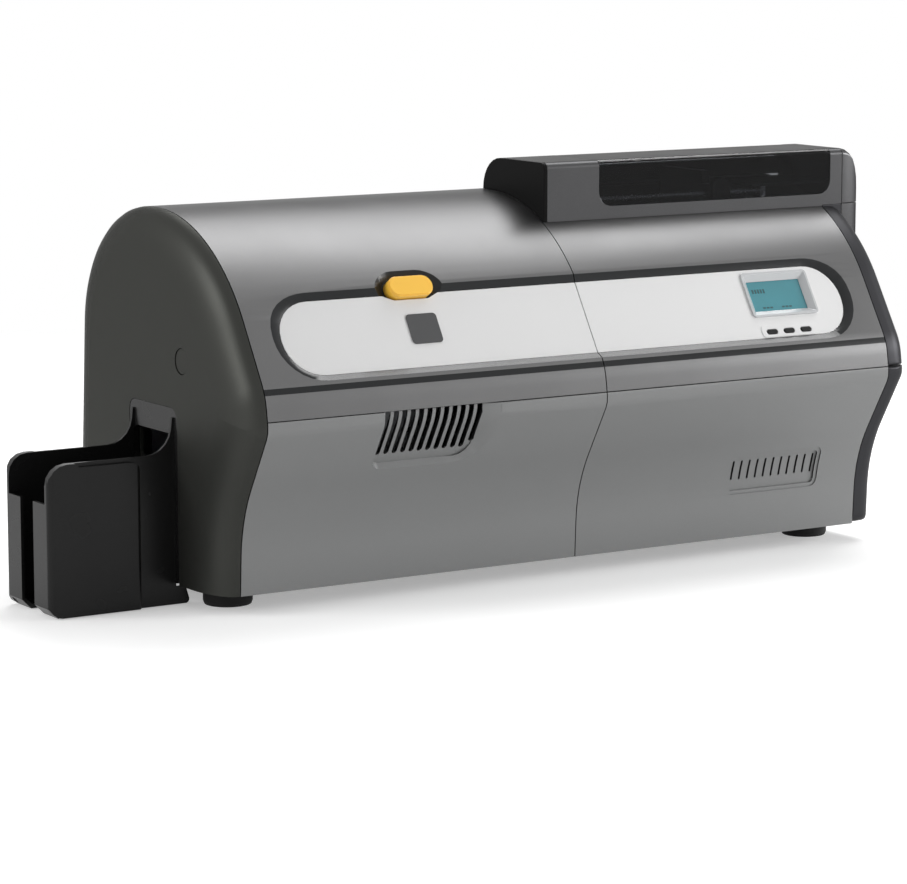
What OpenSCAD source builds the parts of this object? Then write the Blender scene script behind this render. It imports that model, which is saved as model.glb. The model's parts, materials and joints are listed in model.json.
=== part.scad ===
// Desktop card printer: a two-bay body with a hinged print cover on the left, a card feeder
// on top of the right bay, a reject drawer on the right end and an output hopper on the left.
// X runs along the card path to the right, Y from front to rear, Z up from the table.
// The drawing datum is the middle seam, the nose of the front and the table; place() moves
// it to the centre of the footprint.

/* [Body] */
// Width of the print bay, from the left cap's seam to the middle seam
left_bay_w = 285; // [280:1:300]
// Width of the feeder bay, from the middle seam to the right cap's seam
right_bay_w = 264; // [262:1:276]
// Thickness of the pillow-shaped left end cap
left_cap_w = 17; // [14:1:20]
// Thickness of the right end caps
right_cap_w = 20; // [18:1:24]
// Depth of the body at its foot
body_depth = 276; // [272:1:284]
// Height of the crown above the table
crown_z = 281; // [278:1:285]
// Height of the split between the upper covers and the lower panels
break_z = 144; // [141:1:147]
// Height of the underside above the table, which is the height of the feet
floor_z = 15; // [12:1:17]
// Wall of the moulded shells
wall = 2.5; // [2:0.25:3]
// Open seam between neighbouring shells
seam = 0.8; // [0.4:0.1:1]

/* [Front profile] */
// Tilt of the upper front face above the horizontal
face_angle = 58; // [57:0.5:60]
// Setback of the brow, where the upper face starts, behind the nose
brow_y = 4; // [3:0.5:6]
// Height of the brow
brow_z = 162.5; // [160:0.5:165]
// Height of the nose, the foremost line of the body
nose_z = 136.5; // [134:0.5:138]
// Setback of the chin corner behind the nose
chin_y = 39.5; // [37:0.5:41]
// Height of the chin corner
chin_z = 70; // [66:1:74]
// Setback of the skirt at its foot
skirt_y = 42; // [41.5:0.5:46]
// Radius of the crown's front curve
crown_r = 150; // [140:1:160]
// Radius of the crown's rear curve
rear_r = 95; // [85:1:96]

/* [Trim and controls] */
// Height of the white trim band along the face
trim_h = 57.5; // [56:0.5:60]
// Distance of the band's lower edge above the brow, along the face
trim_rise = 13; // [12:0.5:14]
// Thickness of the trim plates
trim_t = 2; // [1.5:0.25:2.5]
// Depth of the trim's face below the cover's face
trim_sink = 3; // [2.5:0.25:3.5]
// Distance of the release button's centre from the middle seam
button_off = 143; // [130:1:150]
// Length of the release button
button_l = 37; // [34:1:40]
// Height of the release button
button_h = 16; // [14:0.5:17]
// Travel of the release button
button_travel = 3; // [2:0.25:3]
// Distance of the display's centre from the right cap's seam
display_gap = 83.5; // [80:0.5:88]
// Width of the display's visible glass
display_w = 50; // [46:1:52]
// Height of the display's visible glass
display_h = 25; // [22:1:26]
// Spacing of the three control keys
key_pitch = 16; // [15:0.5:18]
// Length of one control key
key_l = 10; // [9:0.5:11]

/* [Vents] */
// Slots in the left front vent
left_slots = 12; // [10:1:12]
// Spacing of the left vent's slots
left_slot_pitch = 7; // [6.5:0.25:7]
// Slots in the right front vent
right_slots = 11; // [9:1:11]
// Spacing of the right vent's slots
right_slot_pitch = 7.6; // [7:0.2:7.6]

/* [Feeder] */
// Height of the feeder's top above the table
feeder_z = 306; // [303:1:309]
// Setback of the feeder's front face behind the nose
feeder_y = 87; // [85:0.5:89]
// Depth of the feeder
feeder_d = 84; // [82:1:88]
// Reach of the feeder's rounded end past the right cap's seam
end_reach = 38; // [34:1:42]
// Height of the joint between the feeder and the reject drawer
bin_top_z = 262.5; // [261:0.5:264]
// Height of the reject drawer's underside
bin_z = 232.5; // [231:0.5:236]
// Travel of the reject drawer
bin_travel = 80; // [60:5:85]
// Distance of the window's left edge from the middle seam
window_off = 51; // [46:1:56]
// Reach of the window past the right cap's seam
window_past = 7.5; // [4:0.5:9]
// Distance of the card pusher's centre from the right cap's seam
pusher_gap = 96; // [92:1:104]

/* [Output hopper] */
// Length of the hopper in front of the left cap
hopper_l = 101.4; // [96:0.2:106]
// Width of the hopper outside its walls
hopper_w = 70; // [67:0.5:73]
// Height of the hopper's side walls
hopper_side_z = 110; // [104:1:112]
// Height of the hopper's end wall
hopper_end_z = 82; // [74:1:88]
// Width of the thumb slot in the end wall
thumb_w = 20.5; // [18:0.5:24]

/* [Card path] */
// Distance of the card path's middle behind the nose
path_y = 138; // [137:0.5:139]
// Height of the card path above the table
path_z = 112; // [111:0.5:113]
// Radius of the rubber drive rollers
drive_r = 8; // [7:0.25:8.5]
// Radius of the pinch rollers
pinch_r = 7; // [6:0.25:7.5]
// Radius of the roller shafts
shaft_r = 3; // [2.5:0.25:3.5]
// Radial running clearance of shafts in their bores
run_fit = 0.08; // [0.05:0.01:0.1]
// Radius of the ribbon spools' flanges
spool_r = 27; // [24:1:28]

/* [Feet] */
// Radius of a rubber foot
foot_r = 18; // [15:1:20]
// Distance of the front feet's centres behind the nose
foot_front = 93; // [80:1:100]
// Distance of the rear feet's centres before the rear
foot_rear = 45; // [35:1:55]
// Distance of the feet's centres inside the outer seams
foot_side = 18; // [16:1:30]

/* [Hidden] */

// Smoothness of arcs in outlines: the largest turn and the longest chord of one step
arc_turn = 22.5;
arc_chord = 6;
round_steps = 48;

left_x = -left_bay_w;
right_x = right_bay_w;
cap_x = left_x - left_cap_w;
hopper_x = cap_x - hopper_l;
end_x = right_x + end_reach;
fit = 0.3;
eps = 0.01;

// ---- Outlines: corners are [u, v, radius], listed anticlockwise ----

function unit(v) = v / norm(v);
function cross2(a, b) = a[0] * b[1] - a[1] * b[0];
function flat(c) = [c[0], c[1]];
function wrap(list, i) = list[(i + len(list)) % len(list)];
function half_angle(a, b, c) = acos(unit(a - b) * unit(c - b)) / 2;
function polar(r, a) = r * [cos(a), sin(a)];

function arc_steps(a, b, c, r) = r <= 0 ? 0 :
    let (turn = 180 - 2 * half_angle(a, b, c))
    max(2, ceil(turn / arc_turn), ceil(turn * PI / 180 * r / arc_chord));

function steps_of(corners) = [for (i = [0:len(corners) - 1])
    arc_steps(flat(wrap(corners, i - 1)), flat(corners[i]), flat(wrap(corners, i + 1)),
              corners[i][2])];

// One corner, replaced by an arc that is tangent to both of its sides
function corner_arc(a, b, c, r, steps) = steps == 0 ? [b] :
    let (u = unit(a - b), v = unit(c - b), half = half_angle(a, b, c), turn = 180 - 2 * half,
         hub = b + unit(u + v) * r / sin(half),
         p = b + u * r / tan(half) - hub,
         q = b + v * r / tan(half) - hub)
    [for (i = [0:steps]) let (t = i / steps)
        hub + (p * sin((1 - t) * turn) + q * sin(t * turn)) / sin(turn)];

function outline(corners, steps) = let (n = is_undef(steps) ? steps_of(corners) : steps)
    [for (i = [0:len(corners) - 1])
        each corner_arc(flat(wrap(corners, i - 1)), flat(corners[i]),
                        flat(wrap(corners, i + 1)), corners[i][2], n[i])];

// Corners moved inwards by d[i] on the side from corner i to the next one
function inset(corners, d) = [for (i = [0:len(corners) - 1])
    let (a = flat(wrap(corners, i - 1)), b = flat(corners[i]), c = flat(wrap(corners, i + 1)),
         u = unit(b - a), v = unit(c - b), m = [-u[1], u[0]], n = [-v[1], v[0]],
         dm = wrap(d, i - 1), dn = d[i],
         p = b + [dm * n[1] - dn * m[1], dn * m[0] - dm * n[0]] / cross2(m, n),
         r = corners[i][2], step = (dm + dn) / 2)
    [p[0], p[1], r <= 0 ? 0 : max(0.5, cross2(u, v) > 0 ? r - step : r + step)]];

function same(corners, d) = [for (c = corners) d];

// ---- The body's section, in Y and Z ----

rear_lean = 18;
rear_top_y = body_depth - rear_lean;
crown_y = brow_y + (crown_z - brow_z) / tan(face_angle);
foot_corner = [skirt_y, floor_z, 0];
rear_foot_corner = [body_depth, floor_z, 4];
// The two curves of the crown share its top, so they are limited by its length
rear_half = half_angle([body_depth, floor_z], [rear_top_y, crown_z], [crown_y, crown_z]);
top_share = min(1, (rear_top_y - crown_y - 1) / (crown_r * tan(face_angle / 2) + rear_r / tan(rear_half)));
crown_round = crown_r * top_share;
rear_round = rear_r * top_share;
rear_corner = [rear_top_y, crown_z, rear_round];
crown_corner = [crown_y, crown_z, crown_round];
brow_corner = [brow_y, brow_z, 45];
nose_corner = [0, nose_z, 15];
chin_corner = [chin_y, chin_z, 110];
body_corners = [foot_corner, rear_foot_corner, rear_corner, crown_corner, brow_corner,
                nose_corner, chin_corner];

// Walls behind the face and the chin are thicker, because the trim and the vent are sunk in;
// inside, face and chin meet in one corner
face_wall = trim_sink + trim_t + 3;
chin_wall = 7;
skirt_wall = 4.5;
function meet(a, da, b, db) = a + da * cross2(b - a, db) / cross2(da, db);
tip = meet(flat(brow_corner), polar(1, face_angle), flat(chin_corner),
           flat(nose_corner) - flat(chin_corner));
cavity_corners = inset([foot_corner, rear_foot_corner, rear_corner, crown_corner,
                        [tip[0], tip[1], 20], chin_corner],
                       [wall, wall, wall, face_wall, chin_wall, skirt_wall]);

body_points = outline(body_corners);
body_front = min([for (p = body_points) p[0]]);
body_rear = max([for (p = body_points) p[0]]);

function front_y(z) = brow_y * (z - nose_z) / (brow_z - nose_z);
function rear_y(z) = body_depth - rear_lean * (z - floor_z) / (crown_z - floor_z);

// Rear curve's centre, on which the hinge and the covers' rear edges are set out
rear_hub = [rear_top_y - rear_round / tan(rear_half), crown_z - rear_round];
hinge_angle = 37;
hinge_r = 4.4;
hinge_pin_r = 2;
hinge_at = rear_hub + polar(rear_round - hinge_r - 0.6, hinge_angle);
cover_edge_angle = hinge_angle + 6;
panel_edge_angle = hinge_angle - 6;

// Crown height over a place near the front curve
crown_hub = [crown_y + crown_round * tan(face_angle / 2), crown_z - crown_round];
function crown_at(y) = crown_hub[1] + sqrt(pow(crown_round, 2) - pow(crown_hub[0] - y, 2));

// ---- Placing ----

module place()
    translate([-(hopper_x + end_x) / 2, -(body_front + body_rear) / 2, 0]) children();

// A section in Y and Z, drawn out along X
module slab(x0, x1)
    translate([x0, 0, 0]) rotate([90, 0, 90]) linear_extrude(x1 - x0) children();

// A section in X and Z, drawn out along Y
module bar(y0, y1)
    translate([0, y1, 0]) rotate([90, 0, 0]) linear_extrude(y1 - y0) children();

module block(low, high) translate(low) cube(high - low);

// A round rod along X or along Y
module rod_x(x0, x1, at, r)
    translate([x0, at[0], at[1]]) rotate([0, 90, 0]) cylinder(h = x1 - x0, r = r, $fn = round_steps);
module rod_y(y0, y1, at, r)
    translate([at[0], y0, at[1]]) rotate([-90, 0, 0]) cylinder(h = y1 - y0, r = r, $fn = round_steps);

// Face frame: X along the band, second axis up the face, third axis out of it
face_at = [brow_y, brow_z] + polar(trim_rise, face_angle);
module on_face() translate([0, face_at[0], face_at[1]]) rotate([face_angle, 0, 0]) children();
module face_prism(n0, n1) translate([0, 0, n0]) linear_extrude(n1 - n0) children();

// A solid through rings of points that share one count: each ring is [points, height]
module loft(rings) {
    n = len(rings[0][0]);
    last = len(rings) - 1;
    polyhedron(
        [for (ring = rings) for (p = ring[0]) [p[0], p[1], ring[1]]],
        concat([[for (i = [0:n - 1]) i]],
               [for (k = [0:last - 1]) for (i = [0:n - 1]) let (j = (i + 1) % n)
                   [k * n + i, k * n + n + i, k * n + n + j, k * n + j]],
               [[for (i = [n - 1:-1:0]) last * n + i]]));
}

// A cup: outer rings from the rim to the closed end, and inner rings the same way; both ends
// rise by a small crown to one point in the middle
end_crown = 0.4;
module cup(outer, inner, middle) {
    n = len(outer[0][0]);
    a = len(outer) - 1;
    b = len(inner) - 1;
    o = n * len(outer);
    tips = o + n * len(inner);
    polyhedron(
        concat([for (ring = concat(outer, inner)) for (p = ring[0]) [p[0], p[1], ring[1]]],
               [for (ring = [outer[a], inner[b]]) [middle[0], middle[1], ring[1] + end_crown]]),
        concat([for (k = [0:a - 1]) for (i = [0:n - 1]) let (j = (i + 1) % n)
                   [k * n + i, k * n + n + i, k * n + n + j, k * n + j]],
               [for (i = [0:n - 1]) [a * n + (i + 1) % n, a * n + i, tips]],
               [for (k = [0:b - 1]) for (i = [0:n - 1]) let (j = (i + 1) % n)
                   [o + k * n + i, o + k * n + j, o + k * n + n + j, o + k * n + n + i]],
               [for (i = [0:n - 1]) [o + b * n + i, o + b * n + (i + 1) % n, tips + 1]],
               [for (i = [0:n - 1]) let (j = (i + 1) % n) [i, j, o + j, o + i]]));
}

// Rings of a moulded cap: straight for a while, then rounded over by an ellipse that draws
// each side in by its own amount
function cap_rings(corners, steps, draw, depth, round, rings) = concat(
    depth > round ? [[outline(corners, steps), 0]] : [],
    [for (k = [0:rings]) let (a = 90 * k / rings)
        [outline(inset(corners, draw * (1 - cos(a))), steps), depth - round + round * sin(a)]]);

module moulded_cap(corners, draw, depth, round, rings = 7) {
    steps = steps_of(corners);
    inner = inset(corners, same(corners, wall));
    cup(cap_rings(corners, steps, draw, depth, round, rings),
        cap_rings(inner, steps, draw, depth - wall, min(round - 1, depth - wall), rings),
        [path_y, (min([for (c = corners) c[1]]) + max([for (c = corners) c[1]])) / 2]);
}

// ---- Body shells ----

// A cut is a point and a direction; what lies left of the direction is kept
function side_of(p, cut) = cross2(cut[1], p - cut[0]);
function clip(points, cut) = [for (i = [0:len(points) - 1])
    let (a = points[i], b = wrap(points, i + 1), sa = side_of(a, cut), sb = side_of(b, cut))
    each concat(sa >= 0 ? [a] : [], (sa >= 0) != (sb >= 0) ? [a + (b - a) * sa / (sa - sb)] : [])];
function clip_all(points, cuts, i = 0) =
    i == len(cuts) ? points : clip_all(clip(points, cuts[i]), cuts, i + 1);
function widened(cuts) = [for (c = cuts) [c[0] + [c[1][1], -c[1][0]], c[1]]];

// The band between two outlines, between two X planes, kept on the left of every cut
module shell(x0, x1, outer, inner, cuts) difference() {
    slab(x0, x1) polygon(clip_all(outer, cuts));
    slab(x0 - eps, x1 + eps) polygon(clip_all(inner, widened(cuts)));
}
module body_shell(x0, x1, cuts) shell(x0, x1, body_points, outline(cavity_corners), cuts);

function upper_cuts(edge_angle) = [[[0, break_z + seam / 2], [1, 0]], [rear_hub, polar(1, edge_angle)]];
lower_reach = skirt_y + 18;
lower_cuts = [[[0, break_z - seam / 2], [-1, 0]], [[lower_reach, 0], [0, 1]]];

// Stiffening frame inside a cover
rib_t = 2;
rib_h = 7;
module cover_rib(x, cuts) shell(x, x + rib_t, outline(inset(cavity_corners, same(cavity_corners, -0.5))),
                                outline(inset(cavity_corners, same(cavity_corners, rib_h))), cuts);

// ---- White trim band and its recess, in the face frame ----

left_end = -(left_bay_w - 27.5);
right_end = right_bay_w - 26.4;
band_r = trim_h / 2 - 1;
left_trim_corners = [[left_end, 0, band_r], [-seam / 2, 0, 0], [-seam / 2, trim_h, 0],
        [left_end, trim_h, band_r]];
right_trim_corners = [[seam / 2, 0, 0], [right_end, 0, band_r], [right_end, trim_h, band_r],
        [seam / 2, trim_h, 0]];
recess_low = 5.5;
recess_high = 11;
recess_end = 8;
left_recess_draw = [-recess_low, -fit, -recess_high, -recess_end];
right_recess_draw = [-recess_low, -recess_end, -recess_high, -fit];

module band_recess(corners, draw) {
    steps = steps_of(corners);
    seat = inset(corners, same(corners, -fit));
    rim = inset(corners, draw);
    on_face() {
        face_prism(-trim_sink - trim_t, -trim_sink + eps) polygon(outline(seat));
        loft([[outline(seat, steps), -trim_sink], [outline(rim, steps), 0], [outline(rim, steps), 4]]);
    }
}

module trim_plate(corners) on_face() face_prism(-trim_sink - trim_t, -trim_sink) polygon(outline(corners));

// ---- Release button, its notch and its latch ----

button_x = -button_off;
dip = 4;
button_s = trim_h - dip + 0.7 + button_h / 2;
button_top = 2.2;
flange_t = 1.6;
flat_end = norm(flat(crown_corner) - flat(brow_corner)) - crown_round * tan(face_angle / 2) - trim_rise;
curve_drop = pow(max(0, button_s + button_h / 2 + 2 - flat_end), 2) / (2 * (crown_round - face_wall));
flange_n = -face_wall - curve_drop - fit - flange_t;

module stadium(l, h) {
    for (side = [-1, 1]) translate([side * (l - h) / 2, 0]) circle(d = h, $fn = round_steps);
    translate([-(l - h) / 2, -h / 2]) square([l - h, h]);
}

dip_corners = [[button_x - button_l / 2 + 4, trim_h - dip, 4],
        [button_x + button_l / 2 - 4, trim_h - dip, 4],
               [button_x + button_l / 2 + 14, trim_h + dip, 0],
                       [button_x - button_l / 2 - 14, trim_h + dip, 0]];

// The notch round the button has bevelled sides that open upwards
notch_n = -face_wall + 1.5;
notch_half = button_l / 2 + 2;
notch_top = button_s + button_h / 2 + 1.5;
notch_floor = [[button_x - notch_half, trim_h - dip - 1, 2], [button_x + notch_half, trim_h - dip - 1, 2],
               [button_x + notch_half, notch_top - 6, 8], [button_x + notch_half - 7, notch_top, 8],
               [button_x - notch_half + 7, notch_top, 8], [button_x - notch_half, notch_top - 6, 8]];
notch_draw = [0, -10, -11, -12, -11, -10];
module button_notch() {
    steps = steps_of(notch_floor);
    rim = inset(notch_floor, notch_draw);
    on_face() {
        loft([[outline(notch_floor, steps), notch_n], [outline(rim, steps), 0],
              [outline(rim, steps), 6]]);
        translate([button_x, button_s, flange_n])
            linear_extrude(-flange_n - 1) stadium(button_l + 2 * fit, button_h + 2 * fit);
    }
}

module cover_button() {
    color("orange") place() on_face() translate([button_x, button_s, 0]) {
        translate([0, 0, flange_n + flange_t]) linear_extrude(button_top - flange_n - flange_t - 1.2)
            stadium(button_l, button_h);
        // softened top edge, as a smaller step
        translate([0, 0, button_top - 1.2]) linear_extrude(0.6) stadium(button_l - 0.8, button_h - 0.8);
        translate([0, 0, button_top - 0.6]) linear_extrude(0.6) stadium(button_l - 2, button_h - 2);
        translate([0, 0, flange_n]) linear_extrude(flange_t) stadium(button_l + 5, button_h + 4);
        translate([0, 0, flange_n - 2]) linear_extrude(2) stadium(14, 6);
    }
}

// Latch lever: its upper arm lies under the button's stem, its lower arm hooks the keeper
latch_w = 14;
latch_s = button_s - 22;
push_gap = 0.8;
latch_n = flange_n - 2 - push_gap - 5;
latch_pin_r = 1.8;
latch_ear = 3;
latch_yz = face_at + polar(latch_s, face_angle) + polar(latch_n, face_angle + 90);
keeper_z = latch_yz[1] - 24;
keeper_t = 2.5;
hook_y = latch_yz[0] - 12;
keeper_y = hook_y + 5;

module cover_latch() {
    color("dimgray") place() difference() {
        slab(button_x - latch_w / 2, button_x + latch_w / 2) {
            translate(latch_yz) circle(r = 5, $fn = round_steps);
            polygon([latch_yz + polar(4.5, face_angle + 120), latch_yz + polar(4.5, face_angle - 60),
                     latch_yz + polar(24, face_angle) + polar(2, face_angle + 90),
                     latch_yz + polar(24, face_angle) + polar(5, face_angle + 90)]);
            polygon([[hook_y, keeper_z - 3.5], [keeper_y - 0.4, keeper_z - 3.5],
                     [keeper_y - 0.4, keeper_z + 2], [hook_y + 3.5, keeper_z + 4],
                     latch_yz + [2.5, -4], latch_yz + [-3.5, 3]]);
        }
        rod_x(button_x - latch_w, button_x + latch_w, latch_yz, latch_pin_r + run_fit);
    }
}

module latch_pin() {
    color("silver") place()
        rod_x(button_x - latch_w / 2 - latch_ear - fit, button_x + latch_w / 2 + latch_ear + fit,
              latch_yz, latch_pin_r);
}

// Ears that carry the latch pin, moulded to the back of the face wall
module latch_ears() {
    for (side = [-1, 1]) translate([side * (latch_w / 2 + fit + latch_ear / 2), 0, 0]) difference() {
        slab(button_x - latch_ear / 2, button_x + latch_ear / 2) {
            translate(latch_yz) circle(r = 4.5, $fn = round_steps);
            polygon([latch_yz + polar(4.5, face_angle + 180), latch_yz + polar(4.5, face_angle),
                     latch_yz + polar(4.5, face_angle) + polar(-latch_n - face_wall + 0.5, face_angle + 90),
                     latch_yz + polar(4.5, face_angle + 180)
                         + polar(-latch_n - face_wall + 0.5, face_angle + 90)]);
        }
        rod_x(button_x - latch_ear, button_x + latch_ear, latch_yz, latch_pin_r + run_fit / 4);
    }
}

// ---- Print cover and its hinge ----

hinge_x0 = left_x + 6;
hinge_x1 = -6;
knuckles = 9;
knuckle_pitch = (hinge_x1 - hinge_x0) / knuckles;

// Knuckles of one leaf; odd ones belong to the cover, even ones to the rear panel
module hinge_leaf(first, edge_angle) {
    side = sign(edge_angle - hinge_angle);
    for (k = [first:2:knuckles - 1]) {
        x0 = hinge_x0 + k * knuckle_pitch + fit / 2;
        x1 = x0 + knuckle_pitch - fit;
        difference() {
            slab(x0, x1) {
                translate(hinge_at) circle(r = hinge_r, $fn = round_steps);
                polygon(side > 0 ?
                    [hinge_at + polar(3.6, hinge_angle + 180), hinge_at + polar(4.3, hinge_angle),
                     rear_hub + polar(rear_round, edge_angle + 0.5),
                             rear_hub + polar(rear_round - wall, edge_angle + 0.5)] :
                    [hinge_at + polar(4.3, hinge_angle), hinge_at + polar(3.6, hinge_angle + 180),
                     rear_hub + polar(rear_round - wall, edge_angle - 0.5),
                             rear_hub + polar(rear_round, edge_angle - 0.5)]);
            }
            rod_x(x0 - 1, x1 + 1, hinge_at, hinge_pin_r + run_fit);
        }
    }
}

module cover_hinge_pin() {
    color("silver") place() rod_x(hinge_x0 + 0.5, hinge_x1 - 0.5, hinge_at, hinge_pin_r);
}

module print_cover() {
    cuts = upper_cuts(cover_edge_angle);
    color("gray") place() {
        difference() {
            union() {
                body_shell(left_x + seam, -seam / 2, cuts);
                for (x = [left_x + 8, left_x / 3, -10]) cover_rib(x, cuts);
            }
            band_recess(left_trim_corners, left_recess_draw);
            button_notch();
        }
        hinge_leaf(1, cover_edge_angle);
        latch_ears();
    }
}

module left_trim() {
    color("white") place() difference() {
        trim_plate(left_trim_corners);
        on_face() face_prism(-trim_sink - trim_t - 1, 1) polygon(outline(dip_corners));
    }
}

badge_w = 25.5;
badge_h = 23.5;
badge_s = 29.8;
badge_x = button_x + 3;
module badge_tile() {
    color("dimgray") place() on_face() face_prism(-trim_sink, -trim_sink + 0.8)
        polygon(outline(box_corners(badge_x, badge_s, badge_w, badge_h, 3)));
}

// ---- Lower front panels and their vents ----

vent_l_x0 = left_x + 95;
vent_l_z = 100;
vent_l_w = left_slots * left_slot_pitch + 2;
vent_sink = 4.5;
vent_y = 3.6;
vent_slot_w = 4.2;
vent_bevel = 15;
chin_slope = atan2(nose_z - chin_z, -chin_y);

// Frame on the sloping chin: X along it, second axis up it, third axis out of it
module on_chin() translate([0, chin_y, chin_z]) rotate([chin_slope, 0, 0]) children();
function chin_s(z) = (z - chin_z) / sin(chin_slope);

// Field of the left vent: level at the break, then round and down along the chin
chin_in = flat(chin_corner) + polar(vent_sink, chin_slope - 90);
field_corner = meet([vent_y, 0], [0, 1], chin_in, polar(1, chin_slope));
field_skin = [[vent_y, break_z + 20, 0], [field_corner[0], field_corner[1], 40],
        [chin_in[0], chin_in[1], 0],
              [body_depth / 4, chin_z, 0], [body_depth / 4, break_z + 20, 0]];
function vent_box(z0, z1, low, side) = [[vent_l_x0, z0, low], [vent_l_x0 + vent_l_w + 12, z0, side],
                                        [vent_l_x0 + vent_l_w + 12, z1, 0], [vent_l_x0, z1, 0]];
field_draw = [2.3, vent_bevel, 0, 1];

// A recess with sloping sides: a rim at the surface and a smaller floor
module bevelled(rim, draw, floor_n, rim_n) {
    steps = steps_of(rim);
    loft([[outline(inset(rim, draw), steps), floor_n], [outline(rim, steps), rim_n],
          [outline(rim, steps), rim_n + 12]]);
}

module front_left_panel() {
    color("darkgray") place() difference() {
        body_shell(left_x + seam, -seam / 2, lower_cuts);
        // sunk field of the vent, open to the break line
        difference() {
            bar(-5, chin_y) polygon(outline(inset(vent_box(vent_l_z + 2, break_z + 6, 8, 22), field_draw)));
            slab(vent_l_x0 - 5, 0) polygon(outline(field_skin));
        }
        on_chin() bevelled(vent_box(chin_s(vent_l_z), chin_s(break_z + 12), 8, 30), field_draw,
                -vent_sink, 0);
        rotate([90, 0, 0]) bevelled(vent_box(nose_z - 6, break_z + 6, 0, 0), field_draw, -vent_y - 1, -1);
        // slots through the field
        for (i = [0:left_slots - 1]) bar(-5, chin_y + 2)
            translate([vent_l_x0 + 4.6 + i * left_slot_pitch,
                    vent_l_z + 13 + (i == left_slots - 1 ? 4 : 0)]) {
                circle(d = vent_slot_w, $fn = 24);
                translate([-vent_slot_w / 2, 0]) square([vent_slot_w, break_z - vent_l_z]);
            }
    }
}

vent_r_margin = 6;
vent_r_w = (right_slots - 1) * right_slot_pitch + 2 * vent_r_margin;
vent_r_x0 = right_x - 127;
vent_r_z = 49;
vent_r_h = 32;
vent_r_slot = [1.8, 13.6];
vent_r_corners = [[vent_r_x0, vent_r_z, 6], [vent_r_x0 + vent_r_w, vent_r_z, 6],
                  [vent_r_x0 + vent_r_w, vent_r_z + vent_r_h, 6], [vent_r_x0, vent_r_z + vent_r_h, 6]];

// The part of the front wall that lies deeper than the given depth below its face
module deep_front(x0, x1, depth) slab(x0, x1) polygon(outline(inset(body_corners,
        [0, 0, 0, 0, depth, depth, depth])));

module front_right_panel() {
    color("darkgray") place() difference() {
        body_shell(seam / 2, right_x - seam, lower_cuts);
        for (step = [0, 1]) difference() {
            bar(-5, skirt_y + 2) polygon(outline(inset(vent_r_corners, same(vent_r_corners, 3 * step))));
            deep_front(vent_r_x0 - 5, vent_r_x0 + vent_r_w + 5, 0.8 + 1.4 * step);
        }
        for (i = [0:right_slots - 1])
            translate([vent_r_x0 + vent_r_margin + i * right_slot_pitch, 0, vent_r_z + vent_r_h / 2 + 3])
                bar(-5, skirt_y + 8) {
                    square(vent_r_slot, center = true);
                    for (side = [-1, 1]) translate([0,
                            side * vent_r_slot[1] / 2]) circle(d = vent_r_slot[0], $fn = 16);
                }
    }
}

// ---- End caps ----

// Flat back plate of the hopper, let into the left cap round the card exit
plate_w = 73;
plate_top = 142.5;
plate_t = 3.6;
plate_corners = [[path_y - plate_w / 2, -20, 0], [path_y + plate_w / 2, -20, 0],
                 [path_y + plate_w / 2, plate_top, 8], [path_y - plate_w / 2, plate_top, 10]];
mouth_w = 58;
mouth_z0 = 100;
mouth_z1 = 122.5;
mouth_corners = [[path_y - mouth_w / 2, mouth_z0, 4], [path_y + mouth_w / 2, mouth_z0, 4],
                 [path_y + mouth_w / 2, mouth_z1, 4], [path_y - mouth_w / 2, mouth_z1, 4]];
left_draw = [0, 28, 30, 40, 40, 40, 40];
plug_at = [94, 177.5];
plug_r = 9.6;

module left_end_cap() {
    color([0.28, 0.285, 0.27]) place() difference() {
        union() {
            translate([left_x, 0, 0]) mirror([1, 0, 0]) rotate([90, 0, 90])
                moulded_cap(body_corners, left_draw, left_cap_w, left_cap_w);
            // backing of the hopper's seat and of the plug
            slab(cap_x + plate_t + 1, cap_x + plate_t + 1 + wall)
                polygon(outline(inset([[path_y - plate_w / 2, floor_z + wall, 0],
                    [path_y + plate_w / 2, floor_z + wall, 0], [path_y + plate_w / 2, plate_top, 8],
                    [path_y - plate_w / 2, plate_top, 10]], [0, -4, -4, -4])));
            slab(cap_x + wall - 0.5, left_x - 6) translate(plug_at) circle(r = plug_r + 2.5,
                    $fn = round_steps);
        }
        slab(cap_x - 1, cap_x + plate_t + 1) polygon(outline(inset(plate_corners,
                same(plate_corners, -fit))));
        slab(cap_x - 1, left_x + 1) polygon(outline(mouth_corners));
        slab(cap_x - 1, cap_x + 5) translate(plug_at) circle(r = plug_r, $fn = round_steps);
    }
}

module cap_plug() {
    color([0.25, 0.255, 0.24]) place() {
        slab(cap_x + 0.3, cap_x + 5) translate(plug_at) circle(r = plug_r - 0.15, $fn = round_steps);
    }
}

// Each corner of the right caps that meets the break is small
cap_break = 2;
right_draw_upper = [0.6, 8, 10, 13, 13];
right_draw_lower = [0, 8, 0.6, 13, 13, 13];
upper_cap_z = break_z + seam / 2;
lower_cap_z = break_z - seam / 2;
upper_cap_corners = [[front_y(upper_cap_z), upper_cap_z, cap_break],
        [rear_y(upper_cap_z), upper_cap_z, cap_break],
                     rear_corner, crown_corner, brow_corner];
lower_cap_corners = [[skirt_y, floor_z, 8], [body_depth, floor_z, 8],
                     [rear_y(lower_cap_z), lower_cap_z, cap_break],
                     [front_y(lower_cap_z), lower_cap_z, cap_break], nose_corner, chin_corner];
right_round = 14;

module right_upper_cap() {
    color([0.28, 0.28, 0.3]) place() difference() {
        translate([right_x, 0, 0]) rotate([90, 0, 90])
            moulded_cap(upper_cap_corners, right_draw_upper, right_cap_w, right_round, 5);
        block([right_x - 1, feeder_y - fit, bin_z - fit], [end_x, feeder_y + feeder_d + fit, crown_z + 9]);
    }
}

module right_lower_cap() {
    color([0.28, 0.28, 0.3]) place() translate([right_x, 0, 0]) rotate([90, 0, 90])
        moulded_cap(lower_cap_corners, right_draw_lower, right_cap_w, right_round, 5);
}

// ---- Right cover, its trim, display and keys ----

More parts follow.
